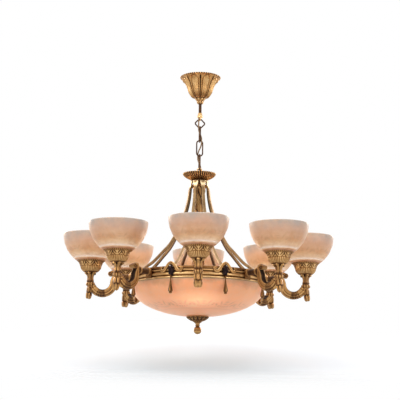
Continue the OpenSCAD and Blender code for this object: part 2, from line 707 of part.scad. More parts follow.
module finial() color(brass) difference() {
    r = finial_d / 2;
    neck = bowl_rod_d / 2 + 1.6;
    ball = finial_bottom + 10;
    revolve(concat([[0, finial_bottom], [0, finial_top]], smooth([
        [neck + 0.6, finial_top],
        [neck + 2.2, finial_top - 3.5],
        [neck, finial_top - 8],
        [neck + 0.5, ball + 9.5],
        [r * 0.86, ball + 5.5],
        [r, ball],
        [r * 0.84, ball - 5.5],
        [r * 0.36, finial_bottom + 1],
        [0.01, finial_bottom]])));
    translate([0, 0, bowl_rod_bottom - 2]) cylinder(r = bowl_rod_d / 2 + thread_gap, h = finial_h);
}

// The bow's band follows the ring's outside as a ribbon with curled ends
module bows() color(brass) for (i = [1:lamp_count]) at_brace(i) intersection() {
    u = bow_w / 2 - bow_band / 2;
    h = bow_h - bow_band;
    top = bow_top - bow_band / 2;
    half = [[0, top], [u * 0.24, top - h * 0.1], [u * 0.48, top - h * 0.5], [u * 0.74, top - h * 0.94],
        [u * 0.94, top - h * 0.92], [u, top - h * 0.55]];
    line = smooth(concat(reversed([for (q = half) [-q[0], q[1]]]), [for (k = [1:5]) half[k]]), 3);
    translate([ring_r - bow_w / 4, 0, 0]) rotate([90, 0, 90]) linear_extrude(bow_w * 0.6)
        polygon(band(line, bow_band));
    difference() {
        translate([0, 0, ring_bottom - 30]) cylinder(r = arm_seat + bow_t, h = ring_h + 60);
        translate([0, 0, ring_bottom - 31]) cylinder(r = arm_seat, h = ring_h + 62);
    }
}

module rosettes() color(dark_brass) for (i = [1:lamp_count]) at_brace(i)
    translate([rosette_x, 0, 0]) rotate([90, 0, 90]) {
        w = rosette_w / 2;
        linear_extrude(rosette_t * 0.6) polygon([
            [-w * 0.45, rosette_top], [-w, rosette_top - 8], [-w, rosette_bottom + 6],
            [-w * 0.55, rosette_bottom], [w * 0.55, rosette_bottom], [w, rosette_bottom + 6],
            [w, rosette_top - 8], [w * 0.45, rosette_top]]);
        for (z = [rosette_top - 9, rosette_bottom + 9]) translate([0, z, 0])
            cylinder(r1 = w * 0.92, r2 = w * 0.6, h = rosette_t);
    }

module drops() color(brass) for (i = [1:lamp_count]) at_brace(i) translate([drop_x, 0, rosette_bottom]) {
    r = drop_d / 2;
    revolve(concat([[0, -drop_len], [0, 0]], smooth([
        [3.4, 0],
        [3.2, -2.5],
        [2, -5],
        [2.3, -drop_len * 0.3],
        [r * 0.62, -drop_len * 0.55],
        [r * 0.95, -drop_len * 0.78],
        [r, -drop_len * 0.88],
        [r * 0.6, -drop_len * 0.97],
        [0.01, -drop_len]])));
}

// Section of the scroll bar: a flat bar with a round bead along its outside
module scroll_section(grow = 0) union() {
    square([scroll_t + 2 * grow, scroll_w + 2 * grow], center = true);
    translate([scroll_t / 2, 0]) circle(r = scroll_bead + grow);
}
module scroll_bow(from, to, grow = 0) translate([bow_x, 0, bow_z]) rotate([90, 0, 0])
    rotate([0, 0, from]) rotate_extrude(angle = to - from) translate([scroll_r, 0]) scroll_section(grow);

module leaf(z) {
    root = 6;
    tip = 17;
    rise = 23;
    w = 8;
    line = smooth([[root, 0], [root + 2, rise * 0.4], [root + 4.5, rise * 0.75], [tip, rise]], 2);
    count = len(line);
    points = [for (i = [0:count - 1]) let (
        d = along(line, i),
        side = w * sqrt(1 - pow(i / count, 2)),
        fold = 2.2 * (1 - i / count) + 0.4
    ) each [
        [line[i][0], -side, line[i][1]],
        [line[i][0] + fold * d[1], 0, line[i][1] - fold * d[0]],
        [line[i][0], side, line[i][1]],
        [line[i][0] - 2 * d[1], 0, line[i][1] + 2 * d[0]]]];
    sides_faces = [for (i = [0:count - 2]) for (k = [0:3]) let (
        a = 4 * i + k,
        b = 4 * i + (k + 1) % 4
    ) each [[a, a + 4, b + 4], [a, b + 4, b]]];
    translate([0, 0, z]) polyhedron(points, concat(sides_faces,
        [[0, 1, 2, 3], [4 * count - 1, 4 * count - 2, 4 * count - 3, 4 * count - 4]]));
}

module arm() color(brass) difference() {
    union() {
        translate([arm_seat, -scroll_w * 0.65, ring_bottom + 2])
            cube([base_t, scroll_w * 1.3, ring_h - 4]);
        translate([arm_seat + base_t - 1, 0, arm_z]) rotate([0, 90, 0])
            cylinder(d = stub_d, h = leg_x - arm_seat - base_t);
        for (x = [arm_seat + base_t - 1, leg_x - scroll_t / 2 - scroll_bead - 2])
            translate([x, 0, arm_z]) rotate([0, 90, 0]) cylinder(d = stub_d + 5, h = 4);
        scroll_bow(180, scroll_end);
        scroll_bow(scroll_end - 46, scroll_end - 12, 1);
        for (a = [262:7:283]) scroll_bow(a, a + 3.5, 1.2);
        upright(scroll_w) polygon([[leg_x - scroll_t / 2, bow_z], [leg_x + scroll_t / 2, bow_z],
            [curl_x + curl_t / 2, curl_z], [curl_x - curl_t / 2, curl_z]]);
        translate([leg_x - scroll_t / 2, 0, bow_z])
            cylinder(r1 = scroll_bead, r2 = scroll_bead / 2, h = curl_z - bow_z);
        translate([curl_x + curl_r, 0, curl_z]) rotate([90, 0, 0]) rotate_extrude(angle = 180)
            translate([curl_r, 0]) square([curl_t, scroll_w], center = true);
        translate([roll_x, (scroll_w + 2) / 2, curl_z]) rotate([90, 0, 0])
            cylinder(d = scroll_roll_d, h = scroll_w + 2);
        translate([lamp_circle_r, 0, 0]) arm_tip();
    }
    translate([arm_seat - 1, 0, arm_z]) rotate([0, 90, 0])
        cylinder(d = screw_d + 2 * thread_gap, h = screw_into_arm + 1);
}

module arm_tip() {
    revolve(concat([[0, knot_top - knot_h], [0, socket_top]], [[13, socket_top], [13, socket_top - 2.5]], smooth([
        [9.5, socket_top - 5],
        [8, socket_top - socket_h * 0.5],
        [9.5, knot_top + 2],
        [12.5, knot_top - 3],
        [12.5, knot_top - 9],
        [8.5, knot_top - knot_h]])));
    for (a = [0, 90, 180, 270]) rotate([0, 0, a]) leaf(knot_top);
    translate([0, 0, socket_top - 1]) cylinder(d = stud_d, h = stud_top - socket_top + 1);
    lean = 9;
    translate([0, 0, knot_top - knot_h + 3]) rotate([0, 180 - lean, 0])
        linear_extrude(leaf_drop + 3, scale = 0.72) polygon([for (k = [0:23]) let (
            a = 15 * k,
            r = 8.6 + 1.3 * cos(6 * a)
        ) [r * cos(a) * 0.8, r * sin(a)]]);
}

module cup() color(brass) translate([lamp_circle_r, 0, 0]) {
    r = cup_d / 2;
    foot = r * 0.38;
    bore = stud_d / 2 + thread_gap + 0.05;
    outer = [[r, cup_rim], [r, cup_rim - 2.5], [r * 0.83, cup_rim - cup_h * 0.235],
        [r * 0.765, cup_rim - cup_h * 0.47], [r * 0.7, cup_rim - cup_h * 0.68],
        [r * 0.55, cup_rim - cup_h * 0.88], [foot, cup_bottom]];
    inner = [[bore, cup_bottom], [bore, cup_floor], [foot - 0.5, cup_floor],
        [foot + (r - foot) * 0.44 - cup_t - 1.4, cup_rim - cup_h * 0.62],
        [foot + (r - foot) * 0.6 - cup_t - 1.2, cup_rim - 11.5], [r - cup_t - 1, cup_rim]];
    lobed(concat(outer, inner), [1, 1, 1.6, 1.6, 1.6, 1.2, 0, 0, 0, 0, 0, 0, 0], 14, 2);
}

// The shade stands in the cup on its flat floor and is clamped by the lampholder
module shade() color(alabaster) translate([lamp_circle_r, 0, 0]) difference() {
    r = shade_d / 2;
    seat_r = cup_d / 2 - cup_t - 2.6;
    foot = 26.3;
    outer = smooth([
        [foot, shade_floor],
        [foot + 3.4, shade_floor + 6.5],
        [seat_r, cup_rim - 0.3],
        [r * 0.56, cup_rim + shade_h * 0.04],
        [r * 0.65, cup_rim + shade_h * 0.1],
        [r * 0.75, cup_rim + shade_h * 0.22],
        [r * 0.85, cup_rim + shade_h * 0.36],
        [r * 0.91, cup_rim + shade_h * 0.49],
        [r * 0.96, cup_rim + shade_h * 0.62],
        [r * 0.985, cup_rim + shade_h * 0.76],
        [r, cup_rim + shade_h * 0.88],
        [r * 0.998, cup_rim + shade_h * 0.95],
        [r * 0.985, shade_top - 1]]);
    inner = shifted(outer, shade_t);
    top = len(outer) - 1;
    revolve(concat([[0, shade_floor]], outer, [[outer[top][0] - shade_t / 2, shade_top]],
        [for (k = [top:-1:3]) inner[k]], [[foot - 4, clamp_z], [0, clamp_z]]));
    translate([0, 0, shade_floor - 1]) cylinder(d = holder_d + 2, h = shade_t + 4);
}

module shade_lampholders() color(porcelain) for (i = [1:lamp_count])
    at_lamp(i) translate([lamp_circle_r, 0, cup_floor]) {
        lampholder();
        translate([0, 0, clamp_z - cup_floor]) difference() {
            cylinder(d = holder_d + 10, h = 3);
            translate([0, 0, -1]) cylinder(d = holder_d - 1, h = 5);
        }
    }
module shade_lamps() color(lamp_glass) for (i = [1:lamp_count])
    at_lamp(i) translate([lamp_circle_r, 0, cup_floor]) bulb(lamp_d, lamp_len);

ceiling_bracket();
rod_nuts();
hanger_rod();
rod_eye();
canopy();
canopy_collar();
grub_screw();
lozenge_link();
chain_link_1();
chain_link_2();
chain_link_3();
flex();
top_eye();
top_dish();
capital();
column();
centre_tube();
tube_nut();
braces();
ring();
ring_screws();
spider();
bowl_rod();
lamp_cluster();
bowl_lampholders();
bowl_lamps();
bowl_gasket();
bowl();
bowl_washer();
bowl_cap();
finial();
bows();
rosettes();
drops();
shade_lampholders();
shade_lamps();
for (i = [1:lamp_count]) {
    at_lamp(i) arm();
    at_lamp(i) cup();
    at_lamp(i) shade();
}
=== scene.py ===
import math

import bmesh
import bpy
import numpy as np
from mathutils import Matrix, Vector


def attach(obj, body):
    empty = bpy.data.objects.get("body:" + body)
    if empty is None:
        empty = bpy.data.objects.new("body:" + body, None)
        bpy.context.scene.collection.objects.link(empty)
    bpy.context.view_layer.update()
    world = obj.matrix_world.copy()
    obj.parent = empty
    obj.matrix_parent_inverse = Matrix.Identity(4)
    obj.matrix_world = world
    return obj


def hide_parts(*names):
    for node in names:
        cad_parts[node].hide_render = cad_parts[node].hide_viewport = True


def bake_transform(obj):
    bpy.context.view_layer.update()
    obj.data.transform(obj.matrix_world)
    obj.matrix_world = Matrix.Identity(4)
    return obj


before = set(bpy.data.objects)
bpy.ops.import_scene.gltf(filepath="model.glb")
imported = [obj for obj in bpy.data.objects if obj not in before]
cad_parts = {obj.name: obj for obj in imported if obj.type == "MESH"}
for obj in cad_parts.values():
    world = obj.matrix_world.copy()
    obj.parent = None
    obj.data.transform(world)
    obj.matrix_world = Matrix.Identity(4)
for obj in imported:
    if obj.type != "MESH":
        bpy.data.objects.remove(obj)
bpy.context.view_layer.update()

MM = 0.001
TAU = 2 * math.pi
LAMPS = 8

# Shared places in millimetres: distance from the axis, and height below the ceiling
LAMP_X = 315.0
ARM_Z = -610.0
SCROLL_TOP = -601.0
RING_BOTTOM = -632.0
RING_FACE = 195.2
BOW_Z = -581.8


# Small curve and shape functions, in millimetres. A spline goes through each of its points.
def spline(points, steps):
    p = np.array(points, float)
    ext = np.vstack([p[0], p, p[-1]])
    out = []
    for i in range(len(p) - 1):
        a, b, c, d = ext[i], ext[i + 1], ext[i + 2], ext[i + 3]
        for k in range(steps):
            t = k / steps
            out.append(0.5 * (2 * b + (c - a) * t + (2 * a - 5 * b + 4 * c - d) * t * t
                              + (3 * b - a - 3 * c + d) * t ** 3))
    out.append(p[-1])
    return np.array(out)


# The same line with points at even distances
def resample(path, count):
    path = np.array(path, float)
    gaps = np.linalg.norm(np.diff(path, axis=0), axis=1)
    run = np.concatenate([[0], np.cumsum(gaps)])
    at = np.linspace(0, run[-1], count)
    return np.stack([np.interp(at, run, path[:, k]) for k in range(path.shape[1])], axis=1)


def arc(centre, r, start, end, count):
    a = np.radians(np.linspace(start, end, count))
    return np.stack([centre[0] + r * np.cos(a), centre[1] + r * np.sin(a)], axis=1)


# Soft step from 0 at low to 1 at high
def step(low, high, x):
    t = np.clip((x - low) / (high - low), 0, 1)
    return t * t * (3 - 2 * t)


# Soft hump, 1 at its centre
def hump(x, centre, width):
    return np.exp(-((x - centre) / width) ** 2)


# Distance to the nearest whole number, from -0.5 to 0.5
def wrap(x):
    return x - np.round(x)


# 1 on the first rows of a closed profile, which are its outside, and 0 on the rest
def outside(t, profile, rows):
    return (np.round(t * (len(profile) - 1)) < rows).astype(float)


# One acanthus leaf on u from -1 to 1 and v from root to tip: height and patina, both 0 to 1
def leaf(u, v, lobes=4.0, slant=0.9, width=0.95):
    a = np.abs(u)
    body = width * np.sqrt(np.clip(1 - ((v - 0.40) / 0.62) ** 2, 0, 1))
    wave = 0.5 + 0.5 * np.cos(TAU * (lobes * v - slant * a))
    edge = body * (0.74 + 0.26 * wave)
    inside = step(1.08, 0.88, a / np.maximum(edge, 1e-3))
    rib = hump(a, 0, 0.11) * step(1.02, 0.85, v)
    height = inside * np.clip(0.55 + 0.35 * wave + 0.35 * rib - 0.20 * a, 0, 1)
    dark = 1 - inside * np.clip(0.25 + 0.75 * wave + rib, 0, 1)
    return height, dark


# Meshes
def link(name, data):
    obj = bpy.data.objects.new(name, data)
    bpy.context.scene.collection.objects.link(obj)
    return obj


def build(name, points, faces, patina=None, sharp=42):
    mesh = bpy.data.meshes.new(name)
    mesh.from_pydata([tuple(p) for p in np.asarray(points, float) * MM], [], faces)
    if patina is not None:
        layer = mesh.attributes.new("patina", "FLOAT", "POINT")
        layer.data.foreach_set("value", np.asarray(patina, np.float32).ravel())
    bm = bmesh.new()
    bm.from_mesh(mesh)
    bmesh.ops.recalc_face_normals(bm, faces=bm.faces)
    bm.to_mesh(mesh)
    bm.free()
    mesh.polygons.foreach_set("use_smooth", [True] * len(mesh.polygons))
    mesh.set_sharp_from_angle(angle=math.radians(sharp))
    mesh.update()
    return link(name, mesh)


# A sheet of rows by columns. The columns close on themselves. The rows close too, or get caps.
def grid(name, pts, patina=None, wrap_rows=False, sharp=42):
    rows, cols = pts.shape[:2]
    faces = []
    for i in range(rows if wrap_rows else rows - 1):
        n = (i + 1) % rows
        for j in range(cols):
            m = (j + 1) % cols
            faces.append((i * cols + j, i * cols + m, n * cols + m, n * cols + j))
    if not wrap_rows:
        faces.append(tuple(range(cols - 1, -1, -1)))
        faces.append(tuple((rows - 1) * cols + j for j in range(cols)))
    return build(name, pts.reshape(-1, 3), faces, patina, sharp)


# A body of revolution. relief(t, angle, r, z) gives an outward push in millimetres and a patina, which
# in places is painted shade.
def lathe(name, profile, cols, relief, closed=False, turn=0.0, sharp=42):
    profile = np.array(profile, float)
    if closed:
        tangent = np.roll(profile, -1, axis=0) - np.roll(profile, 1, axis=0)
    else:
        tangent = np.gradient(profile, axis=0)
    length = np.maximum(np.linalg.norm(tangent, axis=1), 1e-9)
    nr = (tangent[:, 1] / length)[:, None]
    nz = (-tangent[:, 0] / length)[:, None]
    angle = np.linspace(0, TAU, cols, endpoint=False)[None, :] + turn
    r = profile[:, 0][:, None] * np.ones_like(angle)
    z = profile[:, 1][:, None] * np.ones_like(angle)
    t = np.linspace(0, 1, len(profile))[:, None] * np.ones_like(angle)
    push, patina = relief(t, angle * np.ones_like(r), r, z)
    r = r + push * nr
    z = z + push * nz
    pts = np.stack([r * np.cos(angle), r * np.sin(angle), z], axis=2)
    return grid(name, pts, patina, wrap_rows=closed, sharp=sharp)


# A bar along a path in the plane of x and z. At t from 0 to 1 along it, section(t) gives the outline as
# (outward, across), and the last function gives, at t and that outline, the patina and painted shade of
# those points.
def bar(name, path, section, patina, sharp=42):
    path = np.array(path, float)
    tangent = np.gradient(path, axis=0)
    tangent /= np.maximum(np.linalg.norm(tangent, axis=1), 1e-9)[:, None]
    pts = []
    shades = []
    for i, (p, d) in enumerate(zip(path, tangent)):
        t = i / (len(path) - 1)
        outline = section(t)
        pts.append([[p[0] + d[1] * out, across, p[1] - d[0] * out] for out, across in outline])
        shades.append(patina(t, np.array(outline)))
    return grid(name, np.array(pts), np.array(shades), sharp=sharp)


# A round tube along any route
def tube(name, route, r, sides):
    route = np.array(route, float)
    tangent = np.gradient(route, axis=0)
    tangent /= np.linalg.norm(tangent, axis=1)[:, None]
    pts = []
    side = np.array([1.0, 0.0, 0.0])
    for p, d in zip(route, tangent):
        side = side - d * np.dot(side, d)
        side /= np.linalg.norm(side)
        up = np.cross(d, side)
        pts.append([p + r * (math.cos(TAU * k / sides) * side + math.sin(TAU * k / sides) * up)
                    for k in range(sides)])
    return grid(name, np.array(pts))


def join(name, objects):
    bpy.ops.object.select_all(action="DESELECT")
    for o in objects:
        o.select_set(True)
    bpy.context.view_layer.objects.active = objects[0]
    bpy.ops.object.join()
    objects[0].name = name
    objects[0].data.name = name
    return objects[0]


# Turns a piece to a lamp, or to the place between two lamps
def lamp_place(i):
    return Matrix.Rotation(TAU * i / LAMPS - TAU / 4, 4, "Z")


def brace_place(i):
    return lamp_place(i + 0.5)


# Moves a mesh by millimetres, after a turn or stretch of its own
def shift(obj, x, y, z, first=None):
    move = Matrix.Translation((x * MM, y * MM, z * MM))
    obj.data.transform(move @ first if first else move)


def finish_piece(obj, material, body, slot, *nodes):
    obj.data.materials.clear()
    obj.data.materials.append(material)
    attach(obj, body)
    if nodes:
        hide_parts(*nodes)


# Eight copies of a piece round the axis. Each copy replaces its own numbered node, or the first
# copy replaces the one node that holds them all.
def copies(first, place, prefix, material, slot, node):
    mesh = first.data
    bpy.data.objects.remove(first)
    for i in range(LAMPS):
        obj = link(f"{prefix}_{i + 1}", mesh)
        obj.matrix_world = place(i)
        if node.endswith("_"):
            finish_piece(obj, material, "chandelier", slot, f"{node}{i + 1}")
        elif i == 0:
            finish_piece(obj, material, "chandelier", slot, node)
        else:
            finish_piece(obj, material, "chandelier", slot)


# Materials. Nodes holds one node tree, with short ways to add, wire and set its nodes.
class Nodes:
    def __init__(self, name):
        self.material = bpy.data.materials.new(name)
        self.material.use_nodes = True
        self.tree = self.material.node_tree
        self.shader = self.tree.nodes["Principled BSDF"]
        self.coords = self.add("ShaderNodeTexCoord").outputs["Object"]

    def add(self, kind, **values):
        node = self.tree.nodes.new(kind)
        for key, value in values.items():
            setattr(node, key, value)
        return node

    # A socket is wired, a colour gets its alpha, and a number goes in as it is
    def feed(self, socket, value):
        if isinstance(value, bpy.types.NodeSocket):
            self.tree.links.new(value, socket)
        elif socket.type == "RGBA":
            socket.default_value = (*value, 1.0)
        elif value is not None:
            socket.default_value = value

    def put(self, name, value):
        self.feed(self.shader.inputs[name], value)

    def math(self, operation, a, b, clamp=False):
        node = self.add("ShaderNodeMath", operation=operation, use_clamp=clamp)
        self.feed(node.inputs[0], a)
        self.feed(node.inputs[1], b)
        return node.outputs[0]

    # A noise between -0.5 and 0.5 times the given amount, added to the base
    def cloudy(self, base, noise, amount, clamp=False):
        part = self.math("MULTIPLY", self.math("SUBTRACT", noise, 0.5), amount)
        return self.math("ADD", base, part, clamp)

    def vector(self, operation, a, b=None):
        node = self.add("ShaderNodeVectorMath", operation=operation)
        self.feed(node.inputs[0], a)
        self.feed(node.inputs[1], b)
        return node.outputs["Value" if operation == "LENGTH" else "Vector"]

    def noise(self, scale, detail, roughness=0.55):
        node = self.add("ShaderNodeTexNoise")
        self.feed(node.inputs["Vector"], self.coords)
        self.feed(node.inputs["Scale"], scale)
        self.feed(node.inputs["Detail"], detail)
        self.feed(node.inputs["Roughness"], roughness)
        return node.outputs["Fac"]

    def axis(self, name):
        node = self.add("ShaderNodeSeparateXYZ")
        self.feed(node.inputs[0], self.coords)
        return node.outputs[name]

    def attribute(self, name):
        return self.add("ShaderNodeAttribute", attribute_name=name).outputs["Fac"]

    def ramp(self, factor, stops):
        node = self.add("ShaderNodeValToRGB")
        band = node.color_ramp
        while len(band.elements) < len(stops):
            band.elements.new(0.5)
        for element, (at, colour) in zip(band.elements, stops):
            element.position = at
            element.color = (*colour, 1.0)
        self.feed(node.inputs[0], factor)
        return node.outputs["Color"]

    def grey(self, factor, stops):
        return self.ramp(factor, [(at, (v, v, v)) for at, v in stops])

    def mix(self, factor, a, b):
        node = self.add("ShaderNodeMix", data_type="RGBA")
        self.feed(node.inputs[0], factor)
        self.feed(node.inputs[6], a)
        self.feed(node.inputs[7], b)
        return node.outputs[2]

    def bump(self, height, strength, distance):
        node = self.add("ShaderNodeBump")
        self.feed(node.inputs["Strength"], strength)
        self.feed(node.inputs["Distance"], distance)
        self.feed(node.inputs["Height"], height)
        self.put("Normal", node.outputs[0])


# Brass from its worn ridges to its darkest hollows
BRIGHT = (0.83, 0.55, 0.26)
GOLD = (0.52, 0.295, 0.112)
BROWN = (0.24, 0.11, 0.038)
DARK = (0.045, 0.020, 0.010)
# Pale veins and the etched pattern in the glass
VEIN = (0.74, 0.56, 0.42)
ETCH = (0.42, 0.27, 0.17)


# Shift darkens the whole piece, and spread sets how uneven it is
def antique_brass(name, shift=0.0, spread=0.5, shades=(BRIGHT, GOLD, BROWN, DARK), rough=0.34):
    n = Nodes(name)
    cloud = n.noise(38.0, 4.0)
    fine = n.noise(420.0, 3.0, 0.6)
    # The patina attribute also holds painted shade on some pieces, and etch marks on glass
    age_and_shade = n.math("ADD", n.math("MULTIPLY", n.attribute("patina"), 0.85), shift)
    age_and_shade = n.cloudy(age_and_shade, cloud, spread)
    age_and_shade = n.cloudy(age_and_shade, fine, spread * 0.6, clamp=True)
    n.put("Base Color", n.ramp(age_and_shade, list(zip((0.0, 0.22, 0.55, 0.92), shades))))
    n.put("Roughness", n.grey(age_and_shade, [(0.0, rough), (0.5, rough + 0.10), (1.0, rough + 0.28)]))
    n.put("Metallic", n.grey(age_and_shade, [(0.0, 1.0), (0.6, 1.0), (1.0, 0.7)]))
    n.bump(n.math("ADD", fine, n.math("MULTIPLY", cloud, 2.0)), 0.25, 0.0006)
    return n.material


brass = antique_brass("antique_brass", shift=0.06)
brass_cast = antique_brass("antique_brass_cast", shift=0.27, spread=0.55)
brass_cup = antique_brass("antique_brass_cup", shift=0.12, spread=0.55)
brass_dim = antique_brass("antique_brass_dim", shift=0.36, spread=0.6)
brass_plain = antique_brass("antique_brass_plain", shift=0.09, spread=0.45)
brass_strap = antique_brass("strap_brass", shift=0.34, spread=0.5, rough=0.40,
                            shades=((0.72, 0.56, 0.34), (0.40, 0.275, 0.14), (0.19, 0.11, 0.05), DARK))
brass_dark = antique_brass("dark_patina", shift=0.62, spread=0.7,
                           shades=(GOLD, BROWN, (0.11, 0.055, 0.045), (0.03, 0.016, 0.016)))
brass_rod = antique_brass("rod_brass", shift=0.85, spread=0.45)


def steel_material():
    n = Nodes("zinc_steel")
    fine = n.noise(300.0, 2.0)
    n.put("Base Color", n.ramp(fine, [(0.3, (0.42, 0.42, 0.43)), (0.7, (0.62, 0.62, 0.63))]))
    n.put("Metallic", 1.0)
    n.put("Roughness", n.grey(fine, [(0.3, 0.32), (0.7, 0.45)]))
    return n.material


def porcelain_material():
    n = Nodes("porcelain")
    fine = n.noise(120.0, 2.0)
    n.put("Base Color", n.ramp(fine, [(0.3, (0.80, 0.79, 0.74)), (0.7, (0.88, 0.87, 0.83))]))
    n.put("Roughness", 0.22)
    n.put("Coat Weight", 0.5)
    return n.material


def rubber_material():
    n = Nodes("rubber")
    fine = n.noise(500.0, 2.0)
    n.put("Base Color", n.grey(fine, [(0.3, 0.02), (0.7, 0.05)]))
    n.put("Roughness", 0.8)
    return n.material


def lamp_material():
    n = Nodes("lamp_glass")
    cloud = n.noise(60.0, 2.0)
    warm = n.ramp(cloud, [(0.3, (1.0, 0.86, 0.66)), (0.7, (1.0, 0.92, 0.78))])
    n.put("Base Color", warm)
    n.put("Emission Color", warm)
    n.put("Emission Strength", 1.1)
    n.put("Roughness", 0.35)
    return n.material


# Woven sleeve: fine slanted bands
def flex_material():
    n = Nodes("flex_sleeve")
    wave = n.add("ShaderNodeTexWave", wave_type="BANDS", bands_direction="DIAGONAL")
    n.feed(wave.inputs["Vector"], n.coords)
    n.feed(wave.inputs["Scale"], 260.0)
    n.feed(wave.inputs["Distortion"], 1.5)
    weave = wave.outputs["Fac"]
    n.put("Base Color", n.ramp(weave, [(0.2, (0.17, 0.085, 0.035)), (0.8, (0.42, 0.25, 0.11))]))
    n.put("Roughness", 0.6)
    n.put("Sheen Weight", 0.3)
    n.bump(weave, 0.5, 0.0004)
    return n.material


# Alabaster glass: colour by height between two levels, soft clouds, and an etched pattern. It also has a
# painted glow: the glass emits its own colour at the strength glow, as lamplight coming through it. A
# spot is a centre, a size and a peak of extra painted glow, where a lamp stands behind the glass.
def alabaster_material(name, low, high, stops, glow, etch_depth, spots=()):
    n = Nodes(name)
    height = n.math("DIVIDE", n.math("SUBTRACT", n.axis("Z"), low), high - low, clamp=True)
    cloud = n.noise(16.0, 4.0, 0.6)
    vein = n.noise(55.0, 5.0, 0.65)
    colour = n.ramp(n.cloudy(height, cloud, 0.7, clamp=True), stops)
    colour = n.mix(n.grey(vein, [(0.42, 0.0), (0.62, 0.16)]), colour, VEIN)
    colour = n.mix(n.math("MULTIPLY", n.attribute("patina"), etch_depth), colour, ETCH)
    for centre, size, peak in spots:
        span = n.vector("LENGTH", n.vector("DIVIDE", n.vector("SUBTRACT", n.coords, centre), size))
        near = n.grey(span, [(0.0, 1.0), (0.35, 0.62), (1.0, 0.0)])
        glow = n.math("ADD", n.math("MULTIPLY", near, peak), glow)
    n.put("Base Color", colour)
    # Painted glow: the glass emits its own colour, and more at each spot
    n.put("Emission Color", colour)
    n.put("Emission Strength", glow)
    n.put("Roughness", n.grey(vein, [(0.3, 0.30), (0.7, 0.42)]))
    n.put("Subsurface Weight", 0.60)
    n.put("Subsurface Radius", (0.010, 0.0075, 0.0055))
    n.put("Subsurface Scale", 1.3)
    n.put("Specular IOR Level", 0.22)
    n.put("Sheen Weight", 0.3)
    n.put("Sheen Roughness", 0.35)
    n.put("Sheen Tint", (1.0, 0.72, 0.48))
    n.bump(cloud, 0.15, 0.001)
    return n.material


# Shade tones by height are partly the glass's own colour and partly painted light: grey at the top and
# warm peach lower down.
SHADE_TONES = [(0.0, (0.27, 0.118, 0.057)), (0.3, (0.50, 0.29, 0.17)),
               (0.65, (0.57, 0.405, 0.295)), (1.0, (0.385, 0.372, 0.358))]
BOWL_TONES = [(0.0, (0.80, 0.42, 0.225)), (0.45, (0.86, 0.465, 0.25)),
              (0.8, (0.82, 0.45, 0.235)), (1.0, (0.60, 0.36, 0.195))]
BOWL_GLOW_SPOTS = [((0.0, -0.150, -0.690), (0.088, 0.060, 0.034), 0.62),
              ((0.108, 0.062, -0.705), (0.085, 0.085, 0.040), 0.45),
              ((-0.108, 0.062, -0.705), (0.085, 0.085, 0.040), 0.45)]

shade_glass = alabaster_material("alabaster_shade", -0.562, -0.482, SHADE_TONES, glow=0.12,
                                 etch_depth=0.75)
bowl_glass = alabaster_material("alabaster_bowl", -0.722, -0.636, BOWL_TONES, glow=0.15, etch_depth=0.62,
                                spots=BOWL_GLOW_SPOTS)
steel = steel_material()
porcelain = porcelain_material()
rubber = rubber_material()
lamp_glass = lamp_material()
flex_sleeve = flex_material()


# CAD solids that stay as they are
def dress(names, material):
    for name in names:
        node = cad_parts[name]
        node.data.materials.clear()
        node.data.materials.append(material)


dress(["ceiling_bracket", "rod_nuts", "grub_screw", "centre_tube", "tube_nut", "ring_screws",
       "spider"], steel)
dress(["hanger_rod", "lozenge_link", "chain_link_1", "chain_link_2", "chain_link_3"], brass_rod)
dress(["rod_eye", "top_eye", "bowl_rod", "lamp_cluster"], brass_plain)
dress(["bowl_lampholders", "shade_lampholders"], porcelain)
dress(["bowl_lamps", "shade_lamps"], lamp_glass)
dress(["bowl_gasket", "bowl_washer"], rubber)


# Ceiling canopy: a bell of eight broad petals with a folded leaf between each two, and a roped rim
def make_canopy():
    outer = spline([(17.7, -66), (25.4, -60), (33.9, -47.5), (38, -34.3), (43.9, -21.1), (53, -9),
                    (59.3, -3.5), (59, 0)], 9)
    inner = spline([(55.4, 0), (49.9, -9), (40.4, -21.1), (32.9, -34.3), (28.5, -46.2), (18.8, -58.7),
                    (10, -62.5)], 5)
    foot = np.array([(9, -64.4), (9, -66)])
    profile = np.vstack([outer, inner, foot])
    split = len(outer)

    def relief(t, angle, r, z):
        out = outside(t, profile, split)
        v = np.clip((z + 66) / 66, 0, 1)
        a = np.abs(wrap((angle + TAU / 4) / (TAU / LAMPS)))
        petal = np.sqrt(((0.5 - a) / 0.315) ** 2 + (np.maximum(v - 0.58, 0) / 0.30) ** 2)
        bulge = 1.5 * np.sqrt(np.clip(1 - petal ** 2, 0, 1)) - 1.7 * hump(petal, 1.02, 0.12)
        rays = 0.55 * np.cos(TAU * (0.5 - a) * 11) * step(1.0, 0.5, petal)
        fold = step(0.20, 0.15, a) * step(0.94, 0.84, v)
        sides = np.sin(np.clip(a / 0.175, 0, 1) * math.pi) ** 0.7
        leaf_up = fold * (1.6 * sides - 1.5 * hump(a, 0, 0.028))
        tips = 1.8 * hump(v, 0.80, 0.05) * hump(a, 0.10, 0.06)
        rope = step(0.925, 0.955, v) * step(1.0, 0.975, v) * (0.9 * np.cos(52 * angle) + 0.5)
        neck = step(0.0, 0.10, v)
        push = (bulge + rays + leaf_up + tips) * neck * step(0.95, 0.90, v) + rope
        dark = 0.30 * hump(petal, 1.05, 0.13) + fold * hump(a, 0, 0.04)
        dark += (0.13 - 0.13 * np.cos(TAU * (0.5 - a) * 11)) * step(1.05, 0.8, petal)
        dark += 0.22 * step(0.72, 0.90, v)
        dark += fold * 0.22 + step(0.93, 0.95, v) * (0.50 - 0.60 * np.cos(52 * angle))
        dark += 0.25 * step(0.3, 0.0, v)
        return push * out, np.clip(dark, 0, 1) * out + 0.6 * (1 - out)

    obj = lathe("canopy_bell", profile, cols=416, relief=relief, closed=True)
    finish_piece(obj, brass, "canopy", "antique_brass", "canopy")


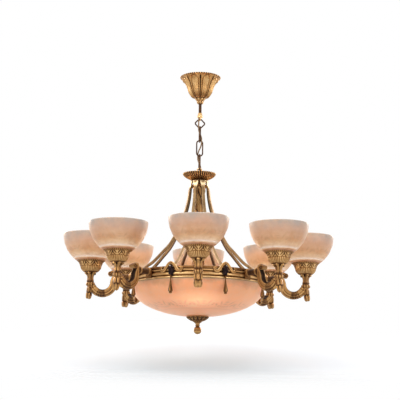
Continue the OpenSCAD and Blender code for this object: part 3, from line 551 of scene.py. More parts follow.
# Collar under the bell: two rows of small leaves
def make_collar():
    outer = spline([(4.6, -83), (7.2, -82.6), (9.4, -79), (9.6, -75.5), (12.2, -71.5), (14.8, -68.2),
                    (14, -66)], 8)
    profile = np.vstack([outer, [(4.6, -66)]])

    def relief(t, angle, r, z):
        v = np.clip((z + 83) / 17, 0, 1)
        low = step(0.52, 0.46, v)
        u = wrap(8 * angle / TAU) * 2
        h1, d1 = leaf(u, np.clip(v / 0.5, 0, 1), 2.0)
        u2 = wrap(8 * angle / TAU + 0.5) * 2
        h2, d2 = leaf(u2, np.clip((v - 0.42) / 0.58, 0, 1), 2.0)
        body = step(4.7, 6.0, r)
        push = (1.3 * h1 * low + 1.3 * h2 * (1 - low) - 0.5) * body
        return push, (d1 * low + d2 * (1 - low)) * 0.9

    obj = lathe("canopy_leaf_collar", profile, cols=160, relief=relief, closed=True)
    finish_piece(obj, brass, "canopy", "antique_brass", "canopy_collar")


# Gadrooned saucer: thin bright ribs that run from the middle to the rim
def make_dish():
    outer = spline([(17.2, -317.6), (24.5, -315.8), (35.6, -311.4), (44.6, -305.6), (48.2, -301.0),
                    (48.7, -298.2)], 9)
    rim = np.array([(48.3, -297.3), (46.5, -297), (44.4, -297.5)])
    inner = spline([(42.6, -303.6), (34.3, -308.4), (21.6, -313.8), (6.8, -315.0)], 7)
    profile = np.vstack([outer, rim, inner, [(6.8, -318)]])
    split = len(outer) + 2

    def relief(t, angle, r, z):
        out = outside(t, profile, split)
        rib = (0.5 + 0.5 * np.cos(44 * angle)) ** 1.3
        reach = step(18, 24, r)
        push = (2.0 * rib - 1.7) * reach * out - 0.4 * rib * (1 - out) * step(44, 38, r) * reach
        dark = (1.05 - 1.30 * rib) * reach + 0.36
        return push, np.clip(dark, 0, 1) * out + 0.55 * (1 - out)

    obj = lathe("ribbed_saucer", profile, cols=528, relief=relief, closed=True)
    finish_piece(obj, brass, "chandelier", "antique_brass", "top_dish")


# Ribbed capital behind the rolled straps
def make_capital():
    line = spline([(6.7, -338), (26.4, -338), (26.4, -334.5), (20, -334), (16.5, -332), (14.4, -327),
                   (15.4, -320), (14, -318.05), (6.7, -318.05)], 5)

    def relief(t, angle, r, z):
        wave = np.cos(16 * angle)
        return 0.8 * wave * step(10, 16, r), 0.5 + 0.3 * wave

    obj = lathe("capital_drum", line, cols=96, relief=relief, closed=True, turn=TAU / 16)
    finish_piece(obj, brass, "chandelier", "antique_brass", "capital")


# Column of twisted flutes with long leaves in its hollows
def make_column():
    top, bottom = -338.05, -621.0
    line = [(6.7, bottom), (21, bottom), (21, bottom + 3), (19, bottom + 8), (17.4, bottom + 14)]
    line += [(17.2 + 0.7 * math.cos(i * 0.55), bottom + 14 + 6.25 * i) for i in range(1, 41)]
    line += [(17.5, top - 12), (18.2, top - 6), (18.2, top), (6.7, top)]
    profile = np.vstack([spline(line[1:-1], 4), [line[-1]], [line[0]]])

    def relief(t, angle, r, z):
        body = step(bottom + 8, bottom + 22, z) * step(top - 3, top - 12, z) * step(8, 12, r)
        twist = angle + math.radians(1.0) * (z - top)
        flute = np.cos(5 * twist)
        along = z / 34.0 + np.round(5 * twist / TAU) * 0.5
        lens = 0.55 + 0.45 * np.cos(TAU * along)
        veins = np.cos(20 * twist + 3 * np.sin(TAU * along))
        push = body * (0.9 * flute + 0.32 * veins - 1.9 * lens * np.clip(-flute, 0, 1) ** 1.5 + 0.4)
        dark = body * (0.75 * lens * np.clip(-flute, 0, 1) + 0.18 - 0.18 * veins) + 0.10
        return push, np.clip(dark, 0, 1)

    obj = lathe("leaf_column", profile, cols=120, relief=relief, closed=True)
    finish_piece(obj, brass_plain, "chandelier", "antique_brass", "column")


# Curved straps with a rolled and flared top
def make_braces():
    # The roll at the top is the end of a spiral round this centre
    roll_x, roll_z = 22.7, -325.3
    volute = []
    for k in range(15, 23):
        r = 2.0 + 2.6 * k / 22
        a = math.radians(430 - 430 * k / 22)
        volute.append((roll_x + r * math.cos(a), roll_z + r * math.sin(a)))
    curve = spline([(27, -340), (28.2, -357), (30.6, -375), (37.4, -405), (53, -450), (84.9, -511),
                    (111.6, -542), (139.9, -572), (161.5, -587), (172.9, -594.3)], 6)
    foot = np.array([(177.5, -595.5), (184, -595.5), (192, -595.5)])
    path = np.vstack([volute, curve, foot])
    path = resample(path, 90)

    def section(t):
        flare = hump(t, 0.022, 0.036)
        w = 4.4 + 3.8 * flare - step(0.25, 0.6, t) + 2.2 * step(0.86, 0.95, t)
        h = 2.4 - 0.4 * step(0.05, 0.0, t)
        o = h + 3.6 * step(0.055, 0.12, t) * step(0.95, 0.86, t)
        return [(h, -w + 0.9), (h + 0.1, -w * 0.45), (h - 0.4, 0), (h + 0.1, w * 0.45), (h, w - 0.9),
                (h - 0.6, w), (h - 1.6, w), (-o + 0.9, w), (-o, w - 0.9), (-o + 0.3, 0), (-o, -w + 0.9),
                (-o + 0.9, -w), (h - 1.6, -w), (h - 0.6, -w)]

    def patina(t, outline):
        roll_top = step(0.09, 0.05, t)
        top = step(1.0, 2.1, outline[:, 0])
        # The eye is a painted shadow: a dark line across the roll where the strap's end tucks in.
        eye = 0.9 * hump(t, 0.030, 0.007) * (np.abs(outline[:, 1]) < 5.0)
        shade = 0.16 + 0.95 * top * (1 - roll_top) - 0.50 * roll_top + eye
        return np.clip(shade, -0.4, 1)

    first = bar("strap", path, section, patina)
    copies(first, brace_place, "strap_brace", brass_strap, "antique_brass", "braces")


# Ring: a rolled hoop with a flat upper band, ridges, and a bright lip at the foot
def make_ring():
    outer = [(187, 0), (193, 0), (195.2, 1.0), (195.6, 3.2), (194.8, 5.0), (192.0, 6.0), (191.4, 7.2),
             (193.2, 8.4), (194.9, 11.0), (195.0, 14.0), (193.8, 16.8), (191.4, 18.2), (191.2, 19.4),
             (193.6, 20.6), (194.6, 22.4), (193.6, 24.4), (191.6, 25.4), (191.2, 26.6), (192.4, 27.6),
             (192.8, 31.0), (192.2, 33.4), (190.5, 34)]
    inner = [(176, 34), (176, 31), (187, 31), (187, 3), (184, 3), (184, 0)]
    corners = np.array(outer + inner) + np.array([0, RING_BOTTOM])
    profile = []
    for a, b in zip(corners, np.roll(corners, -1, axis=0)):
        profile += [a, a * 0.5 + b * 0.5]

    def relief(t, angle, r, z):
        depth = np.clip((RING_FACE - r) / 4.0, 0, 1)
        inside = (r < 189.5).astype(float)
        return np.zeros_like(r), 0.85 * depth * (1 - inside) + 0.45 * inside

    obj = lathe("ring_hoop", profile, cols=256, relief=relief, closed=True, sharp=50)
    finish_piece(obj, brass, "chandelier", "antique_brass", "ring")


# Scroll arm, in the plane of x and z with the axis at x = 0. Part of the scroll is knurled: height of
# its ridges and depth of its grooves, both 0 to 1.
def knurl(t):
    start, end, pitch = 0.66, 0.805, 0.029
    if not start < t < end:
        return 0.0, 0.0
    wave = 0.5 * math.cos(TAU * (t - start) / pitch)
    return 0.5 - wave, 0.5 + wave


def scroll_outline(t):
    grow = step(0.08, 0.36, t)
    ridge = 1.1 * knurl(t)[0]
    collar = 1.3 * float(step(0.815, 0.83, t) * step(0.955, 0.94, t))
    w = 9.0 + ridge + collar
    inn = -(2.8 + 6.4 * grow) - 0.4 * ridge - 0.4 * collar
    out = 2.8 + 4.5 * grow
    bead = 1.0 + 3.9 * grow + 0.5 * ridge + 0.5 * collar
    plain = 1 - min(1.0, ridge + collar)
    hollow = (1.6 + 2.0 * grow) * plain
    deep = 1.5 * grow * plain
    span = out - inn
    half = [(inn, w - 1.6), (inn + 0.9, w - 0.3), (inn + 0.20 * span, w + 0.2 * grow),
            (inn + 0.36 * span, w + 0.5 * grow), (inn + 0.52 * span, w + 0.1 * grow),
            (inn + 0.62 * span, w - deep), (inn + 0.74 * span, w - 0.2), (out - 1.2, w - 0.1),
            (out + 0.2, w * 0.84), (out, w * 0.64), (out + bead * 0.50, w * 0.56),
            (out + bead * 0.90, w * 0.32), (out + bead + 0.1, 0)]
    mirror = [(o, -y) for o, y in reversed(half[:-1])]
    lip = inn + hollow * 0.7
    return half + mirror + [(lip, -w * 0.62), (inn + hollow, 0), (lip, w * 0.62)]


def scroll_patina(t, outline):
    out, across = outline[:, 0], np.abs(outline[:, 1])
    w = outline[1][1]
    # The inner face of the scroll is painted dark as shade inside the curl; the groove, panel, knurls
    # and seams carry patina.
    inner_face_shade = step(-1.0, -2.6, out) * (across < w - 0.6)
    groove = hump(out, outline[9][0], 0.8) * (across < w - 1)
    panel = 0.45 * hump(out, outline[5][0], 0.6) * step(0.12, 0.25, t)
    seam = 0.8 * hump(t, 0.818, 0.006) + 0.8 * hump(t, 0.953, 0.006)
    return np.clip(inner_face_shade + 0.65 * groove + panel + 0.95 * knurl(t)[1] + seam + 0.02, 0, 1)


# The bar starts on the roll and curls down and out to the lamp
def make_scroll():
    curl_x, curl_r = 250.5, 6.5
    loop_x, loop_z, loop_r = 279.0, -626.0, 31.0
    up = arc((curl_x, SCROLL_TOP), curl_r, 0, 180, 16)
    start = curl_x - curl_r
    wide, high = loop_x - loop_r - start, loop_z - SCROLL_TOP
    leg = [(start + wide * k / 6, SCROLL_TOP + high * k / 6) for k in range(1, 6)]
    loop = arc((loop_x, loop_z), loop_r, 180, 340, 60)
    path = resample(np.vstack([up, leg, loop]), 176)
    return bar("scroll", path, scroll_outline, scroll_patina, sharp=50)


def make_roll():
    line = [(0.5, -10.2), (2.2, -10.2), (2.4, -9.4), (3.6, -9.2), (4.2, -10.0), (5.6, -10.2),
            (6.6, -9.6), (7.0, -8.2), (6.7, -4), (6.6, 0)]
    line += [(r, -y) for r, y in reversed(line[:-1])]
    obj = lathe("roll", line, cols=32,
                relief=lambda t, angle, r, z: (np.zeros_like(r), 0.9 * hump(r, 3.3, 0.9) + 0.15))
    shift(obj, 257, 0, SCROLL_TOP, Matrix.Rotation(TAU / 4, 4, "X"))
    return obj


# Turned stub from the ring to the scroll, and the plate behind it on the ring
def make_stub():
    line = [(0.5, 198), (11.5, 198), (11.8, 199.5), (11.2, 202.4), (9.4, 203.2), (8.4, 204.6),
            (8.2, 208), (8.4, 214), (8.2, 226), (8.6, 229.6), (10.6, 230.4), (11.2, 232.6),
            (10.4, 235.0), (8.6, 236.0), (8.6, 243.5), (0.5, 243.5)]
    obj = lathe("stub", line, cols=48,
                relief=lambda t, angle, r, z: (np.zeros_like(r), 0.55 * hump(r, 8.4, 0.9) + 0.1))
    shift(obj, 0, 0, ARM_Z, Matrix.Rotation(TAU / 4, 4, "Y"))
    return obj


def make_plate():
    size = (4.2, 23.4, 30.0)
    bm = bmesh.new()
    bmesh.ops.create_cube(bm, size=1.0)
    bmesh.ops.scale(bm, vec=[v * MM for v in size], verts=bm.verts)
    bmesh.ops.bevel(bm, geom=bm.edges, offset=1.3 * MM, segments=3, affect="EDGES")
    mesh = bpy.data.meshes.new("plate")
    bm.to_mesh(mesh)
    bm.free()
    patina = mesh.attributes.new("patina", "FLOAT", "POINT")
    patina.data.foreach_set("value", [0.35] * len(mesh.vertices))
    obj = link("plate", mesh)
    shift(obj, 197.1, 0, -615)
    return obj


# Socket of leaves that flare under the cup
def make_socket():
    outer = spline([(8.3, -625), (9.6, -622.5), (8.6, -617), (8.4, -610), (10.2, -604), (13.8, -600.0),
                    (15.8, -598.6)], 8)
    rim = np.array([(16.0, -597.9), (14.6, -597.6)])
    under = spline([(12.6, -598.2), (8.0, -598.0), (1.0, -598.0)], 3)
    profile = np.vstack([[(1.0, -625)], outer, rim, under])

    def relief(t, angle, r, z):
        v = np.clip((z + 625) / 27.5, 0, 1)
        a = np.abs(wrap(5 * angle / TAU) * 2)
        edge = step(5, 9, r)
        tip = step(0.62, 1.0, v)
        blade = 1.9 * (1 - a ** 2.2) + 0.8 * hump(a, 0, 0.14) - 0.9 + tip * (1 - a)
        dark = 0.95 * step(0.62, 0.95, a) + 0.5 * hump(a, 0.30, 0.10)
        dark += 0.5 * step(0.30, 0.0, v) - 0.3 * tip * (1 - a)
        return blade * edge - 5.5 * tip * a ** 2.4 * edge, np.clip(dark, 0, 1) * edge

    obj = lathe("socket", profile, cols=96, relief=relief, turn=math.pi)
    shift(obj, LAMP_X, 0, 0)
    return obj


# Ring of small buds
def make_knot():
    line = [(1.0, -638.5), (8.2, -638.5), (9.6, -637), (12.0, -634.4), (12.8, -631.5), (12.2, -628.4),
            (10.2, -626.0), (8.6, -624.6), (1.0, -624.6)]

    def relief(t, angle, r, z):
        bud = np.abs(np.cos(5 * angle))
        ring = step(8.5, 11.0, r)
        return (1.2 * bud - 0.7) * ring, np.clip(0.85 - bud, 0, 1) * ring + 0.25 * (1 - ring)

    obj = lathe("knot", spline(line, 4), cols=80, relief=relief)
    shift(obj, LAMP_X, 0, 0)
    return obj


# Drop of long leaves under the knot, leaning outwards
def make_tail():
    line = spline([(1.0, -37.8), (6.4, -37.6), (9.6, -35.6), (11.2, -31), (11.8, -25), (11.0, -20),
                   (11.6, -14), (12.2, -8), (11.2, -3), (8.2, 2.0), (1.0, 2.0)], 6)

    def relief(t, angle, r, z):
        low = step(-18.0, -22.0, z)
        a = np.abs(wrap(5 * angle / TAU + 0.5 * (z < -20)) * 2)
        body = step(1.5, 5.0, r)
        notch = hump(z, -20.0, 1.8) * (0.4 + 0.6 * a)
        push = (2.2 * (1 - a ** 2) + 0.7 * hump(a, 0, 0.15) - 1.9 - 1.2 * notch - low * a) * body
        dark = 0.95 * step(0.60, 0.95, a) + 0.6 * hump(a, 0.32, 0.10) + 0.6 * notch
        return push, np.clip(dark - 0.4 * hump(z, -35, 4), 0, 1)

    obj = lathe("tail", line, cols=80, relief=relief, turn=math.pi)
    lean = Matrix.Rotation(-math.radians(9), 4, "Y")
    shift(obj, LAMP_X, 0, -636.5, lean @ Matrix.Diagonal((0.74, 1, 1, 1)))
    return obj


def make_arm():
    first = join("arm", [make_scroll(), make_roll(), make_stub(), make_plate(), make_socket(),
                         make_knot(), make_tail()])
    copies(first, lamp_place, "scroll_arm", brass_cast, "antique_brass", "arm_")


# Cup under a shade: ribs round the foot, curled acanthus leaves above them and a beaded rim
def make_cup():
    outer = spline([(15.4, -597.4), (18.8, -595.6), (23.2, -592.6), (27.8, -587), (30.4, -580.5),
                    (31.8, -575), (33.8, -570), (37.2, -566), (40.4, -563.6)], 7)
    rim = np.array([(41.0, -562.6), (41.0, -562.0), (40.6, -561.6), (39.3, -561.5), (38.9, -561.9)])
    inner = spline([(38.0, -562.6), (33.0, -567.5), (27.4, -573), (25.2, -581.0), (22.0, -588),
                    (15.0, -595.4), (6.0, -595.9)], 3)
    profile = np.vstack([outer, rim, inner, [(5.4, -596.2), (5.4, -597.5)]])
    split = len(outer) + 3

    def relief(t, angle, r, z):
        out = outside(t, profile, split)
        v = np.clip((z + 597.5) / 33.0, 0, 1)
        rib = np.abs(np.cos(18 * angle))
        u = wrap(8 * angle / TAU) * 2
        h, d = leaf(u, np.clip((v - 0.50) / 0.46, 0, 1) * 0.92, 1.9, 1.7, 1.15)
        upper = step(0.54, 0.60, v)
        rim_band = step(0.90, 0.94, v)
        beads = 0.5 + 0.5 * np.cos(46 * angle)
        low = (1.2 * rib - 0.5 - 0.9 * hump(v, 0.56, 0.04)) * step(0.0, 0.08, v)
        push = ((2.6 * h - 1.6) * upper + low * (1 - upper)) * (1 - rim_band)
        push += rim_band * (0.9 * beads - 0.6)
        # Patina lies dark between the ribs and in the groove under the leaves; the darker foot of the
        # cup is painted shade.
        gaps_and_foot_shade = 0.70 * (1 - rib) + 0.7 * step(0.16, 0.0, v) + 0.45 * hump(v, 0.56, 0.04)
        shade = (1.15 * d * upper + gaps_and_foot_shade * (1 - upper)) * (1 - rim_band)
        shade += rim_band * (0.80 - 0.62 * beads)
        return push * out, np.clip(shade, 0, 1) * out + 0.5 * (1 - out)

    first = lathe("cup", profile, cols=240, relief=relief, closed=True)
    shift(first, LAMP_X, 0, 0)
    copies(first, lamp_place, "leaf_cup", brass_cup, "antique_brass", "cup_")


# Garland of the etched glass, from 0 to 1: swags between small flowers, with one swag for each whole
# turn, at this distance across the band and of this size
def garland(turns, across, size):
    u = wrap(turns)
    swag = across + size * (0.9 - 3.6 * u * u)
    side = (np.abs(u) - 0.5) * 3.4
    rise = (across - size * 0.1) / size
    strands = np.cos(TAU * turns * 7 + 2 * np.sin(TAU * turns))
    rope = hump(swag, 0, size * 0.26) * (0.50 + 0.50 * strands)
    bell = hump(np.hypot(side, rise), 0, 0.42)
    petals = bell * (0.6 + 0.4 * np.cos(5 * np.arctan2(rise, side)))
    leaves = 0.5 + 0.5 * np.cos(across / size * 9)
    sprig = hump(u, 0, 0.09) * hump(across, size * 0.35, size * 0.8) * leaves
    blade = np.abs(np.abs(u) - 0.20 - 0.10 * across / size)
    sprig += hump(blade, 0, 0.035) * hump(across, size * 0.45, size * 0.7)
    return np.clip(rope + petals + sprig, 0, 1)


# Open bowl-shaped shade with a rolled lip and an etched garland
def make_shade():
    outer = spline([(26.3, -576), (29.7, -569.5), (36.6, -561.8), (45.6, -558.3), (53, -553.5),
                    (61.1, -544), (69.3, -532.9), (74.2, -522.5), (78.6, -512.2), (80.9, -501.6),
                    (82.2, -492.5), (82.6, -488), (82.7, -485.2)], 8)
    lip = arc((81.2, -485.2), 1.5, 5, 175, 7)
    inner = spline([(79.6, -486.4), (78.9, -492.5), (76.8, -501.8), (74.7, -513.2), (71, -524),
                    (66.2, -534.3), (58.4, -546.2), (51, -555.2), (44.2, -560.6), (36, -564.6),
                    (27.5, -568.6), (22.3, -572.4)], 4)
    profile = np.vstack([outer, lip, inner, [(16, -572.5), (16, -576)]])
    split = len(outer)

    def relief(t, angle, r, z):
        out = outside(t, profile, split)
        mark = garland(7 * angle / TAU, z + 534.0, 9.0) * hump(z, -533, 16)
        return 0.35 * mark * out, mark * out

    first = lathe("shade", profile, cols=168, relief=relief, closed=True)
    shift(first, LAMP_X, 0, 0)
    copies(first, lamp_place, "shade_glass", shade_glass, "alabaster_glass", "shade_")


# Bowl: half an ellipsoid of this radius, depth and wall, with a hole for its rod
def make_bowl():
    widest, depth, radius, wall = -638.0, 84.5, 194.0, 5.0
    a = np.radians(np.linspace(0, 82.9, 70))
    outer = np.stack([radius * np.cos(a), widest - depth * np.sin(a)], axis=1)
    b = np.radians(np.linspace(84.4, 0, 40))
    inner = np.stack([(radius - wall) * np.cos(b), widest - (depth - wall) * np.sin(b)], axis=1)
    bottom = outer[-1][1]
    rim = [(193.15, -633.6), (193.15, -632.2), (193.9, -632.2), (194.0, -635.5)]
    hole = [(12, bottom), (6.1, bottom), (6.1, bottom + wall)]
    profile = np.vstack([rim, outer, hole, inner, [(189.0, -633.6)]])[::-1]

    def relief(t, angle, r, z):
        side = step(16, 40, r) * (z < -640)
        slope = np.degrees(np.arctan2((widest - z) / depth, r / radius))
        outer_face = (np.hypot(r / radius, (widest - z) / depth) > 0.985).astype(float)
        mark = garland(13 * angle / TAU, (45.0 - slope) * 1.6, 11.0) * hump(slope, 45, 12)
        mark = np.maximum(mark, 0.6 * hump(slope, 56, 0.6)) * side * outer_face
        return -0.35 * mark, mark

    obj = lathe("bowl_glass", profile, cols=320, relief=relief, closed=True)
    finish_piece(obj, bowl_glass, "chandelier", "alabaster_glass", "bowl")


# Bow on the ring: a ribbon bent round the ring's face, and its knot
def make_bow():
    half = [(0, -9.0), (5, -10.0), (9.5, -14.5), (15, -22.5), (21, -29.8), (26.5, -31.2), (30.5, -28.2),
            (32.2, -24.0), (30.0, -21.2), (27.4, -22.6)]
    line = [(-x, z) for x, z in reversed(half[1:])] + half
    flat = resample(spline(line, 8), 110)
    tangent = np.gradient(flat, axis=0)
    tangent /= np.linalg.norm(tangent, axis=1)[:, None]
    # Outline of the ribbon: share of its half width, depth off the ring's face, and patina. The patina
    # is dark in the groove, and the lower half is painted darker as shade under the upper edge.
    outline = [(1, 1.2, 0.15), (1, 5.6, 0.0), (0.75, 7.2, 0.0), (0.2, 6.4, 0.55), (-0.35, 6.6, 0.45),
               (-0.8, 6.4, 0.1), (-1, 4.8, 0.35), (-1, 1.2, 0.6), (-0.6, 0.3, 0.6), (0.6, 0.3, 0.3)]
    pts = []
    dark = []
    for i, (p, d) in enumerate(zip(flat, tangent)):
        s = abs(i / (len(flat) - 1) * 2 - 1)
        half_width = 3.9 * (1 - 0.45 * step(0.86, 1.0, s))
        ring = []
        for share, depth, tone_and_underside_shade in outline:
            across = share * half_width
            x = p[0] - d[1] * across
            z = p[1] + d[0] * across
            reach = RING_FACE + depth
            ring.append((reach * math.cos(x / reach), reach * math.sin(x / reach), BOW_Z + z))
            dark.append(tone_and_underside_shade)
        pts.append(ring)
    ribbon = grid("ribbon", np.array(pts), np.array(dark), sharp=60)
    line = spline([(0.6, -4.5), (3.2, -4.2), (4.8, -1.6), (4.8, 1.6), (3.2, 4.2), (0.6, 4.5)], 4)
    knot = lathe("bow_knot", line, cols=24,
                 relief=lambda t, angle, r, z: (0.4 * np.cos(6 * angle), 0.4 - 0.3 * np.cos(6 * angle)))
    shift(knot, 200, 0, -590.5, Matrix.Diagonal((1.0, 0.9, 0.9, 1)))
    first = join("bow", [ribbon, knot])
    copies(first, brace_place, "ribbon_bow", brass, "antique_brass", "bows")


# Rosette block under a bow: a dome of petals with steep sides, which start at this share of the rows
def make_rosette():
    rows, cols, side_start = 26, 72, 0.86
    pts = np.zeros((rows, cols, 3))
    dark = np.zeros((rows, cols))
    for i in range(rows):
        t = i / (rows - 1)
        for j in range(cols):
            a = TAU * j / cols
            petals = abs(math.cos(2.5 * a))
            rim = 1.0 + 0.10 * math.cos(5 * a)
            rho = math.sin(t * math.pi / 2) ** 0.8 if t < side_start else 1.0
            y = 8.2 * rho * rim * math.cos(a)
            z = 13.6 * rho * rim * math.sin(a)
            x = 9.6 + 2.6 * petals * math.sin(min(1, rho) * math.pi) - 5.0 * rho ** 3
            x += 0.9 * math.sin(9 * rho + 3 * math.sin(a * 3)) * rho
            if t >= side_start:
                x = 0.2 + (x - 0.2) * (1.0 - t) / (1.0 - side_start)
            pts[i, j] = (RING_FACE + x, y, -612.0 + z)
            dark[i, j] = 0.25 + 0.5 * (1 - petals)
    first = grid("rosette", pts, dark, sharp=60)
    copies(first, brace_place, "rosette_block", brass_dark, "dark_brass", "rosettes")


# Turned drop under a rosette, fluted on its belly
def make_drop():
    line = spline([(0.5, 1.0), (2.8, 1.0), (3.2, -1.2), (2.2, -3.4), (1.5, -6), (1.6, -11), (2.2, -18),
                   (3.4, -26), (4.9, -33), (6.0, -39.5), (5.8, -43.2), (4.2, -45.2), (3.6, -45.8),
                   (4.3, -47.0), (3.6, -49.2), (0.5, -50.0)], 5)[::-1]

    def relief(t, angle, r, z):
        body = step(-8, -20, z) * step(-45.5, -42, z)
        flute = np.cos(4 * angle)
        return 0.55 * flute * body, np.clip(0.30 - 0.30 * flute * body + 0.5 * hump(z, -45.6, 0.8), 0, 1)

    first = lathe("drop", line, cols=48, relief=relief)
    shift(first, 200, 0, -626.5)
    copies(first, brace_place, "turned_drop", brass_dim, "antique_brass", "drops")


# Leaf cap under the bowl
def make_cap():
    outer = spline([(4.3, -741.3), (8.0, -741.2), (13.6, -736.7), (21.4, -733.6), (28.6, -729.0),
                    (32.4, -725.2), (32.6, -722.6)], 8)
    inner = np.array([(31.4, -722.0), (23.2, -722.2), (22.8, -723.3), (4.3, -723.3)])
    profile = np.vstack([outer, inner])
    split = len(outer)

    def relief(t, angle, r, z):
        out = outside(t, profile, split)
        u = wrap(14 * angle / TAU) * 2
        v = np.clip((z + 741) / 17, 0, 1)
        h, d = leaf(u, np.clip((v - 0.05) / 0.9, 0, 1), 2.0, 0.8, 1.0)
        body = step(7, 12, r) * step(0.97, 0.90, v)
        return (1.8 * h - 1.2) * body * out, np.clip(d * body * 0.9 + 0.1, 0, 1) * out

    obj = lathe("leaf_cap", profile, cols=224, relief=relief, closed=True)
    finish_piece(obj, brass_cast, "chandelier", "antique_brass", "bowl_cap")


# Turned knob that holds the bowl
def make_finial():
    line = [(0.4, -774.0), (3.8, -773.4), (7.4, -771.4), (10.4, -767.8), (11.2, -764.6), (10.6, -763.2),
            (10.5, -762.2), (11.3, -761.2), (10.6, -758.0), (8.2, -754.4), (6.0, -753.0), (5.6, -751.4),
            (6.4, -750.2), (7.4, -749.4), (6.2, -748.2), (5.6, -746.6), (6.6, -744.0), (7.8, -743.0),
            (6.4, -741.8), (0.4, -741.8)]

    def relief(t, angle, r, z):
        belt = hump(z, -762.6, 1.2) + 0.8 * hump(z, -752.2, 1.4) + 0.6 * hump(z, -747.0, 1.0)
        return np.zeros_like(r), np.clip(belt + 0.12, 0, 1)

    obj = lathe("turned_finial", spline(line, 4), cols=96, relief=relief)
    finish_piece(obj, brass_plain, "finial", "antique_brass", "finial")


# Flex woven through the chain, in pieces that each reach over one joint. The route gives x, y and the
# depth under its top, before the chain's turn.
def make_flex():
    top = -125.5
    route = [(-4.4, -4.4, 0), (-4.4, -4.4, 8), (-4.5, -4.5, 18), (-4.6, -4.4, 30), (-4.2, -4.4, 40),
             (-1.5, -4.4, 48), (1.5, -4.4, 55), (4.2, -4.4, 63), (4.6, -4.4, 72), (4.4, -3.8, 82),
             (2, -1.5, 92), (-2, 1.5, 101), (-4.4, 3.8, 111), (-4.6, 4.4, 120), (-4.2, 4.4, 128),
             (-1.5, 4.4, 136), (1.5, 4.4, 143), (4.2, 4.4, 151), (4.5, 4.5, 161), (4.4, 4.4, 172)]
    x, y, z = spline([(x, y, top - d) for x, y, d in route], 5).T
    turn = math.radians(10)
    c, s = math.cos(turn), math.sin(turn)
    points = np.stack([x * c - y * s, x * s + y * c, z], axis=1)
    cuts = [0.0, -146.0, -179.0, -222.0, -265.0, -400.0]
    for k in range(5):
        low, high = cuts[k + 1], cuts[k]
        pick = [i for i in range(len(points)) if low <= points[i][2] <= high]
        if pick[-1] + 1 < len(points):
            pick.append(pick[-1] + 1)
        obj = tube(f"flex_{k + 1}", points[pick], r=2.0, sides=14)
        obj.data.materials.append(flex_sleeve)
        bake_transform(obj)
        if k == 0:
            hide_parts("flex")


make_canopy()
make_collar()
make_dish()
make_capital()
make_column()
make_braces()
make_ring()
make_arm()
make_cup()
make_shade()
make_bowl()
make_bow()
make_rosette()
make_drop()
make_cap()
make_finial()
make_flex()


# Stage: a pale sheet under the lamp that carries its soft shadow and fades out towards its edge. It
# is a little cooler in the middle, where the light of the glass is warm.
def make_stage():
    half = 6.0
    mesh = bpy.data.meshes.new("floor")
    corners = [(-half, -half, 0), (half, -half, 0), (half, half, 0), (-half, half, 0)]
    mesh.from_pydata(corners, [], [(0, 1, 2, 3)])
    floor = link("floor", mesh)
    floor.matrix_world = Matrix.Translation((0, 0, -0.875)) @ Matrix.Rotation(math.radians(13.5), 4, "X")
    n = Nodes("pale_floor")
    span = n.vector("LENGTH", n.coords)
    n.put("Base Color", n.ramp(span, [(0.0, (0.610, 0.750, 0.860)), (0.15, (0.641, 0.754, 0.836)),
                                      (0.34, (0.716, 0.762, 0.799)), (0.7, (0.745, 0.762, 0.782))]))
    n.put("Roughness", 1.0)
    n.put("Specular IOR Level", 0.0)
    n.put("Emission Color", (1, 1, 1))
    seen = n.add("ShaderNodeLightPath").outputs["Is Camera Ray"]
    n.put("Emission Strength", n.math("MULTIPLY", seen, 0.13))
    back = n.add("ShaderNodeNewGeometry").outputs["Backfacing"]
    edge = n.grey(span, [(0.55, 0.0), (0.95, 1.0)])
    front = n.math("DIVIDE", n.axis("Y"), -0.27, clamp=True)
    front = n.grey(front, [(0.0, 0.0), (0.32, 0.50), (0.84, 0.95), (1.0, 1.0)])
    blend = n.add("ShaderNodeMixShader")
    n.feed(blend.inputs[0], n.math("MAXIMUM", back, n.math("MAXIMUM", edge, front)))
    n.feed(blend.inputs[1], n.shader.outputs[0])
    n.feed(blend.inputs[2], n.add("ShaderNodeBsdfTransparent").outputs[0])
    n.feed(n.tree.nodes["Material Output"].inputs["Surface"], blend.outputs[0])
    floor.data.materials.append(n.material)


def place_light(name, kind, place, power, colour):
    data = bpy.data.lights.new(name, kind)
    data.energy = power
    data.color = colour
    obj = link(name, data)
    obj.location = place
    return obj


def area_light(name, place, aim, size, power, colour=(1, 1, 1)):
    obj = place_light(name, "AREA", place, power, colour)
    obj.data.size = size
    obj.rotation_euler = (Vector((0, 0, aim)) - Vector(place)).to_track_quat("-Z", "Y").to_euler()


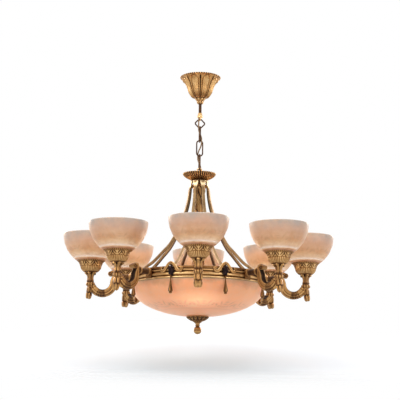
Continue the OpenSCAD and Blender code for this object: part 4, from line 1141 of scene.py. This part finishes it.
# A white surround for the camera, gloss and clear glass, and a weaker cool light on the object
def make_world():
    world = bpy.data.worlds.new("studio")
    bpy.context.scene.world = world
    world.use_nodes = True
    tree = world.node_tree
    tree.nodes.clear()
    path = tree.nodes.new("ShaderNodeLightPath")
    mix = tree.nodes.new("ShaderNodeMixShader")
    white = path.outputs["Is Camera Ray"]
    for ray in ("Is Glossy Ray", "Is Transmission Ray"):
        more = tree.nodes.new("ShaderNodeMath")
        more.operation = "ADD"
        more.use_clamp = True
        tree.links.new(white, more.inputs[0])
        tree.links.new(path.outputs[ray], more.inputs[1])
        white = more.outputs[0]
    tree.links.new(white, mix.inputs[0])
    for k, colour, strength in ((1, (0.93, 0.95, 1.0, 1), 0.55), (2, (1, 1, 1, 1), 1.0)):
        light = tree.nodes.new("ShaderNodeBackground")
        light.inputs["Color"].default_value = colour
        light.inputs["Strength"].default_value = strength
        tree.links.new(light.outputs[0], mix.inputs[k])
    out = tree.nodes.new("ShaderNodeOutputWorld")
    tree.links.new(mix.outputs[0], out.inputs["Surface"])


def make_lights():
    warm = (1.0, 0.90, 0.80)
    area_light("overhead", (0.0, 0.1, 1.3), -0.6, 2.2, 32.0)
    area_light("back_left", (-1.8, 2.0, 0.3), -0.6, 0.8, 32.0, warm)
    area_light("back_right", (1.8, 2.0, 0.3), -0.6, 0.8, 34.0, warm)
    area_light("key", (-1.9, -2.3, 0.5), -0.55, 1.0, 27.0, (1.0, 0.95, 0.88))
    # The lit lamps in the bowl, as one soft light
    glow = place_light("bowl_glow", "POINT", (0.0, 0.0, -0.575), 1.5, (1.0, 0.86, 0.70))
    glow.data.shadow_soft_size = 0.09
    glow.visible_camera = False
    area_light("fill", (2.3, -2.0, -0.2), -0.55, 1.2, 15.0, (1.0, 0.96, 0.92))


# The camera stands low and looks up, as in the photograph
def make_camera():
    data = bpy.data.cameras.new("camera")
    data.sensor_width = 36.0
    data.lens = 114.3
    data.shift_x = 0.0024
    obj = link("camera", data)
    tilt = Matrix.Rotation(math.radians(90 + 10.67), 4, "X")
    roll = Matrix.Rotation(math.radians(0.68), 4, "Z")
    obj.matrix_world = Matrix.Translation((0, -3.700, -1.074)) @ tilt @ roll
    bpy.context.scene.camera = obj


make_stage()
make_world()
make_lights()
make_camera()
bpy.context.scene.view_settings.view_transform = "Standard"
